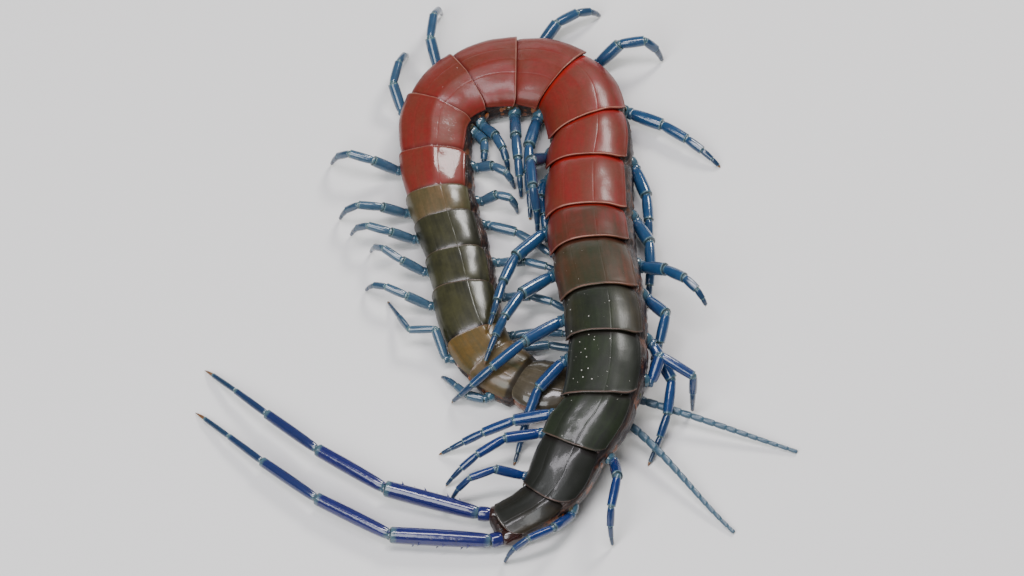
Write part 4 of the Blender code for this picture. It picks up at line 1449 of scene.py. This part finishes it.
def leg(plate, side, settings, finish):
    """One leg: root block, collar, six lengths with soft balls between them, spurs and a hooked claw."""
    root, outward, joints, lengths, radius = leg_line(plate, side)
    tint = leg_tint(plate, settings)
    line = Line()
    leg_root(line, plate, root, outward, joints[0], radius, settings)
    for index, part in enumerate(lengths):
        near, far = joints[index], joints[index + 1]
        size = max(radius * part.near, LEAST_RADIUS)
        shade = tint.lerp(Vector(settings.foot), part.dark)
        if part.shape == "hook":
            tip = far + UP * size * 0.8
            line.length("hook", near, tip, size * 0.85, settings.claw, 0.0, 0.8, hook_side(tip - near))
        else:
            line.length(part.shape, near, far, size, shade, 0.8, 0.93)
        if index:
            line.ball(near, size * settings.joint_ball, Vector(settings.joint).lerp(shade, 0.3))
    spurs(line, joints, radius, settings)
    if plate == PLATE_COUNT:
        thigh_thorns(line, side, joints, radius, settings)
    return line.piece(f"jointed_leg_{plate:02d}_{side}", settings.sides, finish)


def hook_side(axis):
    """The side towards which a claw's bend turns away, so that its tip points down."""
    level = UP.cross(axis).normalized()
    return axis.cross(level) if axis.cross(level).z > 0.0 else level.cross(axis)


def spurs(line, joints, radius, settings):
    """The small spur under the end of the first tarsus, and the pair beside the claw."""
    near, far, tip, end = joints[3:]
    axis = (far - near).normalized()
    level = UP.cross(axis).normalized()
    girth = 0.10 * radius + 0.05
    line.thorn(far - axis * 0.25, axis * 0.9 - UP * 0.45, girth, radius * 0.75, settings.claw)
    for turn in (-0.45, 0.45):
        way = (end - tip).normalized() + level * turn
        line.thorn(tip, way, girth * 0.8, radius * 0.45, settings.claw)


def thigh_thorns(line, side, joints, radius, settings):
    """Short thorns along the inner and lower side of a rear leg's first length, and one at its end."""
    near, far = joints[0], joints[1]
    axis = (far - near).normalized()
    inner = UP.cross(axis).normalized() * -SIDES[side]
    for row, way in enumerate((inner, inner * 0.6 - UP * 0.8, inner * 0.7 + UP * 0.7)):
        way.normalize()
        for step in range(3):
            at = near + (far - near) * (0.22 + 0.24 * step + 0.06 * row) + way * radius * 0.95
            line.thorn(at, way + axis * 0.6, 0.16, 0.62, settings.violet)
    end = far + UP * radius * 0.7 - axis * 0.5
    line.thorn(end, axis + UP * 0.25 + inner * 0.3, 0.24, 1.3, settings.violet)


class CENTIPEDE_OT_legs(bpy.types.Operator):
    """Add the walking legs and the two long rear legs"""

    bl_idname = "centipede.legs"
    bl_label = "Legs"

    def execute(self, context):
        settings = context.scene.centipede_limbs
        finish = limb_finish("Legs", settings)
        for plate in range(1, PLATE_COUNT + 1):
            slot = "rear_leg_blue" if plate == PLATE_COUNT else "leg_blue"
            for side in SIDES:
                hand_over(leg(plate, side, settings, finish), slot, f"leg_{plate:02d}_{side}")
        return {"FINISHED"}


# Marks on the sides


def side_marks(settings, finish):
    """Small hard shields round each leg's root, and above some of them a breathing hole's rim whose opening is
    a near-black disc of painted shade.
    """
    line = Line()
    for plate in range(1, PLATE_COUNT):
        here, radius = leg_along(plate), leg_radius(plate)
        _, tailwards, left, upward = stand(here)
        for turn in SIDES.values():
            away = left * turn

            def mark(at, way, sunk, size, tint):
                line.add("shield", at - way.normalized() * sunk, way, size, tint, 0.0, tailwards)

            for behind, height, size in SIDE_SHIELDS:
                at = on_trunk(here + behind * radius, turn * SIDE_SHIELD_OUT, height)
                way = away + upward * (height - ROOT_HEIGHT) * 1.5
                mark(at, way, 0.06, (radius * size, radius * size * 1.5, 0.15), settings.side_spot)
            if plate in SPIRACLE_PLATES:
                at = on_trunk(here + 0.2, turn * 0.470, 0.475)
                way = away + upward * 0.15
                mark(at, way, 0.04, (0.62, 0.40, 0.30), settings.olive)
                # The hole is no opening but a near-black disc set on the rim: painted shade for the hole.
                mark(at, way, -0.10, (0.40, 0.20, 0.18), (0.004, 0.003, 0.003))
    return line.piece("side_shields", 12, finish)


class CENTIPEDE_OT_side_marks(bpy.types.Operator):
    """Add the small side shields and breathing holes"""

    bl_idname = "centipede.side_marks"
    bl_label = "Side shields"

    def execute(self, context):
        finish = limb_finish("Side shields", context.scene.centipede_limbs, 0.3, 0.4)
        hand_over(side_marks(context.scene.centipede_shell, finish), "shell_dark")
        return {"FINISHED"}


# Head


def head_forward(forward):
    """The head's way forward at a distance from the neck: it turns from the trunk's line to its own."""
    neck_heading = math.degrees(float(course().headings[0])) - 180.0
    heading = math.radians(neck_heading + (HEAD_HEADING - neck_heading) * clamp(forward / HEAD_TURN_LENGTH))
    return Vector((math.cos(heading), math.sin(heading), 0.0))


def on_head(forward, outward, high):
    """A point of the head: forward from the neck, to the left of its line, and up from the floor."""
    middle = Vector((*NECK, 0.0))
    for index in range(HEAD_STEPS):
        middle += head_forward(forward * (index + 0.5) / HEAD_STEPS) * (forward / HEAD_STEPS)
    return middle + UP.cross(head_forward(forward)) * outward + UP * high


def head_shield(settings):
    """The head shield: one arched shell with two fine grooves and a rounded rim over the first plate."""
    table = np.array(SHIELD_OUTLINE)
    rear, front = table[0, 0], table[-1, 0]
    outer, inner, alongs, acrosses = [], [], [], []
    for u in SHIELD_ROWS:
        row, under = [], []
        lip = SHIELD_LIP * fade(u - 0.022, 0.012) - SHIELD_RIM_DROP * max(0.0, 1.0 - u / 0.012)
        for v in COLUMNS:
            bow = SHIELD_BOW * (1.0 - math.sqrt(max(0.0, 1.0 - abs(v) ** 2.4))) * max(0.0, 1.0 - u / 0.25)
            forward = rear + u * (front - rear) + bow
            half, crest = (float(np.interp(forward, table[:, 0], table[:, column])) for column in (1, 2))
            arch = 1.0 - (1.0 - abs(v) ** 2.3) ** 0.62
            high = crest - SHIELD_ARCH * arch + lip - SHIELD_GROOVE * groove_share(v)
            high += 0.06 * noise.noise(Vector((forward * 0.5, v * 2.2, 3.0)))
            point = on_head(forward, v * half, high)
            inwards = (point - on_head(forward, 0.0, high)) * 0.05
            row.append(point)
            under.append(point - UP * settings.shield_thickness / MM - inwards)
            alongs.append(0.30 + 0.70 * (1.0 - float(u)))
            acrosses.append(v)
        outer.append(row)
        inner.append(under)
    data = settle(closed_grid(outer, inner))
    tint = Vector(settings.shield)
    dust = [0.1] * len(alongs)
    store_shell(data, [(*tint, 1.0)] * len(alongs), tint * 0.55, tint * 1.8, tint, alongs, acrosses, dust)
    return new_piece("head_shield", data)


def head_loft(rings, section):
    """A closed body along the head from rings and a half section."""
    shape = rounded(section, 2)
    lofted = []
    table = np.array(rings)
    for forward in np.linspace(table[0, 0], table[-1, 0], 30):
        half, top, under = (float(np.interp(forward, table[:, 0], table[:, column])) for column in (1, 2, 3))
        outline = [(side * half, under + high * (top - under)) for side, high in shape]
        outline += [(-across, high) for across, high in reversed(outline[1:-1])]
        lofted.append([on_head(forward, across, high) for across, high in outline])
    return closed_loft(lofted)


def eyes(settings, limbs):
    """Four simple eyes in a lozenge on each side of the head's front."""
    line = Line()
    for turn in SIDES.values():
        for forward, outward, high in EYES:
            line.ball(on_head(forward, turn * outward, high), settings.eye / MM, (0.006, 0.005, 0.005))
    return line.piece("eyes", 14, limb_finish("Eyes", limbs, 0.06, 1.0))


def mouth_parts(settings, limbs):
    """The two palps and the toothed edges between the poison claws."""
    line = Line()
    for turn in SIDES.values():
        knees = [on_head(forward, turn * outward, high) for forward, outward, high in PALP_KNEES]
        for index, (near, far) in enumerate(zip(knees, knees[1:])):
            line.length("even", near, far, 0.42 - 0.08 * index, settings.under, 0.5)
            line.ball(near, 0.40 - 0.08 * index, settings.under)
        for tooth in range(4):
            at = on_head(3.7, turn * (0.35 + 0.36 * tooth), 1.35)
            line.thorn(at, head_forward(4.0), 0.17, 0.42, (0.012, 0.008, 0.006))
    return line.piece("mouth_parts", 14, limb_finish("Mouth parts", limbs, 0.25, 0.6))


class CENTIPEDE_OT_head(bpy.types.Operator):
    """Add the head: shield, soft underside, jaw plate, eyes and mouth parts"""

    bl_idname = "centipede.head"
    bl_label = "Head"

    def execute(self, context):
        settings = context.scene.centipede_head
        limbs = context.scene.centipede_limbs
        shield = head_shield(settings)
        shield.data.materials.append(shell_finish("Head shield", 0.75, 0.34, 0.09))
        hand_over(shield, "head_shell", "head")
        body = new_piece("head_underside", settle(head_loft(HEAD_BODY, HEAD_SECTION)))
        body.data.materials.append(plain_finish("Head underside", settings.under, 0.35, 0.4, 0.0012, 0.00004))
        jaw = new_piece("jaw_plate", settle(head_loft(JAW_PLATE, JAW_SECTION)))
        jaw.data.materials.append(plain_finish("Jaw plate", settings.under, 0.25, 0.6, 0.0016, 0.00004))
        for piece in (body, jaw, eyes(settings, limbs), mouth_parts(settings, limbs)):
            hand_over(piece, "head_shell")
        return {"FINISHED"}


def claw_points(side):
    """The points of a poison claw's bow, from its root to its tip."""
    return [on_head(forward, SIDES[side] * outward, high) for forward, outward, high in CLAW_POINTS]


def poison_claw(side, settings, limbs, finish):
    """A poison claw: a swollen first length and two short rings."""
    points = claw_points(side)
    tint = settings.fang
    elbow, bend = points[2], points[3]
    ring = elbow.lerp(bend, 0.2)
    line = Line()
    root = on_head(2.6, SIDES[side] * 2.2, 1.3)
    line.length("swollen", root, elbow, 0.98, tint, 0.25, 1.0, points[-1] - points[1])
    line.length("collar", elbow.lerp(points[1], 0.14), ring, 0.98, tint, 0.5)
    line.length("collar", ring, elbow.lerp(bend, 0.5), 0.88, tint, 0.5)
    return line.piece(f"poison_claw_{side}", limbs.sides, finish)


def fang(side, settings, finish):
    """The smooth curved fang of a poison claw, darkening to its sharp tip, with a waist where it starts."""
    points = claw_points(side)
    line = curve(points[2].lerp(points[3], 0.45), *points[3:], 36)
    rings, reaches, tints = [], [], []
    for index, point in enumerate(line):
        gone = index / (len(line) - 1)
        ahead = (line[min(index + 1, len(line) - 1)] - line[max(index - 1, 0)]).normalized()
        sideways = UP.cross(ahead).normalized()
        radius = (0.84 * (1.0 - gone) ** 0.72 + 0.035) * (1.0 - 0.25 * fade(gone, 0.03))
        shade = Vector(settings.fang).lerp(Vector((0.008, 0.006, 0.005)), clamp((gone - 0.35) / 0.35))
        turns = [2 * math.pi * step / FANG_SIDES for step in range(FANG_SIDES)]
        ways = [sideways * math.cos(turn) + ahead.cross(sideways) * math.sin(turn) for turn in turns]
        rings.append([point + way * radius for way in ways])
        reaches += [0.1 + 0.8 * gone] * FANG_SIDES
        tints += [(*shade, 1.0)] * FANG_SIDES
    data = settle(closed_loft(rings))
    clears = [0.0] * (len(reaches) + 2)
    store(data, reach=[*reaches, 0.1, 0.9], clear=clears, tint=[*tints, tints[0], tints[-1]])
    data.materials.append(finish)
    return new_piece(f"fang_{side}", data)


class CENTIPEDE_OT_poison_claws(bpy.types.Operator):
    """Add the two poison claws under the head"""

    bl_idname = "centipede.poison_claws"
    bl_label = "Poison claws"

    def execute(self, context):
        settings = context.scene.centipede_head
        limbs = context.scene.centipede_limbs
        finish = limb_finish("Poison claws", limbs, 0.22, 0.7)
        for side in SIDES:
            hand_over(poison_claw(side, settings, limbs, finish), "poison_claw", f"forcipule_{side}")
            hand_over(fang(side, settings, finish), "poison_claw")
        return {"FINISHED"}


def antenna(side, limbs, finish):
    """A feeler: many short lengths that taper along a smooth curve to the floor."""
    start = on_head(FACE + GAP, SIDES[side] * ANTENNA_SIDE, ANTENNA_HEIGHT)
    forward = head_forward(FACE)
    tip = Vector(ANTENNA_TIPS[side])
    first = start + forward * ((tip - start).length * ANTENNA_REACH)
    second = tip + (start - tip) * ANTENNA_REACH
    second.z = tip.z + ANTENNA_LIFT
    line = Line()
    root = start - forward * 1.1
    line.ball(root, ANTENNA_RADII[0] * 1.15, limbs.root)
    points = curve(start, first, second, tip, limbs.articles * 8)
    stops = np.linspace(0.0, 1.0, limbs.articles + 1) ** 0.92
    joints = [root] + [points[int(round(stop * (len(points) - 1)))] for stop in stops[1:]]
    for index, (near, far) in enumerate(zip(joints, joints[1:])):
        gone = index / limbs.articles
        radius = ANTENNA_RADII[0] * (1.0 - gone) + ANTENNA_RADII[1] * gone
        shade = Vector(limbs.blue).lerp(Vector(limbs.feeler), min(gone / 0.3, 1.0))
        reach = far - near
        line.add("article", near - reach * 0.04, reach, (radius, radius, reach.length * 1.06), shade, 0.35)
    return line.piece(f"feeler_{side}", limbs.sides, finish)


class CENTIPEDE_OT_antennae(bpy.types.Operator):
    """Add the two feelers"""

    bl_idname = "centipede.antennae"
    bl_label = "Feelers"

    def execute(self, context):
        limbs = context.scene.centipede_limbs
        finish = limb_finish("Feelers", limbs, 0.38, 0.2)
        for side in SIDES:
            hand_over(antenna(side, limbs, finish), "antenna_blue", f"antenna_{side}")
        return {"FINISHED"}


# Floor, light and camera


def area_light(name, power, where, size, tall, tint, run=(1.0, 0.0, 0.0)):
    """A soft rectangular light that faces the model, with its width along run."""
    data = bpy.data.lights.new(name, "AREA")
    data.shape = "RECTANGLE"
    data.size = size
    data.size_y = tall
    data.energy = power
    data.color = tint
    light = bpy.data.objects.new(name, data)
    light.location = where
    away = Vector(where).normalized()
    across = (Vector(run) - away * away.dot(Vector(run))).normalized()
    light.rotation_euler = Matrix((across, away.cross(across), away)).transposed().to_euler()
    bpy.context.scene.collection.objects.link(light)


def floor(settings):
    """The plain floor, a hair under the model."""
    mesh = bpy.data.meshes.new("floor")
    corners = ((-1, -1), (1, -1), (1, 1), (-1, 1))
    spots = [(east * FLOOR_REACH, north * FLOOR_REACH, -FLOOR_DROP) for east, north in corners]
    mesh.from_pydata(spots, [], [(0, 1, 2, 3)])
    made = Finish("Floor", 0.75, specular=0.2)
    made.set("Base Color", settings.floor)
    mesh.materials.append(made.material)
    new_piece("floor", mesh)


def camera(settings):
    """The camera at the photo's viewing angle, far enough for its long lens."""
    data = bpy.data.cameras.new("Camera")
    data.lens = settings.lens
    data.sensor_width = 36.0
    distance = settings.view_width / 2 / (data.sensor_width / 2 / data.lens)
    data.clip_start = distance / 10
    data.clip_end = distance * 10
    back = Vector((0.0, -math.cos(settings.elevation), math.sin(settings.elevation)))
    made = bpy.data.objects.new("Camera", data)
    made.location = TO_ORIGIN * MM + back * distance
    made.rotation_euler = (-back).to_track_quat("-Z", "Y").to_euler()
    bpy.context.scene.collection.objects.link(made)
    bpy.context.scene.camera = made


class CENTIPEDE_OT_stage(bpy.types.Operator):
    """Add the floor, the lights and the camera"""

    bl_idname = "centipede.stage"
    bl_label = "Stage"

    def execute(self, context):
        settings = context.scene.centipede_stage
        floor(settings)
        for name, light in LIGHTS.items():
            area_light(name, getattr(settings, name.lower()), *light)
        world = bpy.data.worlds.new("Studio")
        world.use_nodes = True
        background = world.node_tree.nodes["Background"]
        background.inputs["Color"].default_value = (0.86, 0.90, 0.95, 1.0)
        background.inputs["Strength"].default_value = settings.sky
        context.scene.world = world
        camera(settings)
        return {"FINISHED"}


# Panel and registration


OPERATORS = (
    CENTIPEDE_OT_soft_sides,
    CENTIPEDE_OT_back_plates,
    CENTIPEDE_OT_belly_plates,
    CENTIPEDE_OT_side_marks,
    CENTIPEDE_OT_legs,
    CENTIPEDE_OT_head,
    CENTIPEDE_OT_poison_claws,
    CENTIPEDE_OT_antennae,
    CENTIPEDE_OT_stage,
)
SETTINGS = {
    "centipede_shell": CentipedeShell,
    "centipede_limbs": CentipedeLimbs,
    "centipede_head": CentipedeHead,
    "centipede_stage": CentipedeStage,
}


class VIEW3D_PT_centipede(bpy.types.Panel):
    """The centipede's pieces and sizes"""

    bl_idname = "VIEW3D_PT_centipede"
    bl_label = "Centipede"
    bl_space_type = "VIEW_3D"
    bl_region_type = "UI"
    bl_category = "Centipede"

    def draw(self, context):
        for operator in OPERATORS:
            self.layout.operator(operator.bl_idname)
        for name in SETTINGS:
            box = self.layout.box()
            group = getattr(context.scene, name)
            for field in group.__annotations__:
                box.prop(group, field)


def register():
    for thing in (*SETTINGS.values(), *OPERATORS, VIEW3D_PT_centipede):
        bpy.utils.register_class(thing)
    for name, group in SETTINGS.items():
        setattr(bpy.types.Scene, name, PointerProperty(type=group))


def unregister():
    for name in SETTINGS:
        delattr(bpy.types.Scene, name)
    for thing in (VIEW3D_PT_centipede, *OPERATORS, *SETTINGS.values()):
        bpy.utils.unregister_class(thing)


def main():
    register()
    bpy.ops.centipede.soft_sides()
    bpy.ops.centipede.back_plates()
    bpy.ops.centipede.belly_plates()
    bpy.ops.centipede.side_marks()
    bpy.ops.centipede.legs()
    bpy.ops.centipede.head()
    bpy.ops.centipede.poison_claws()
    bpy.ops.centipede.antennae()
    bpy.ops.centipede.stage()


if __name__ == "__main__":
    main()
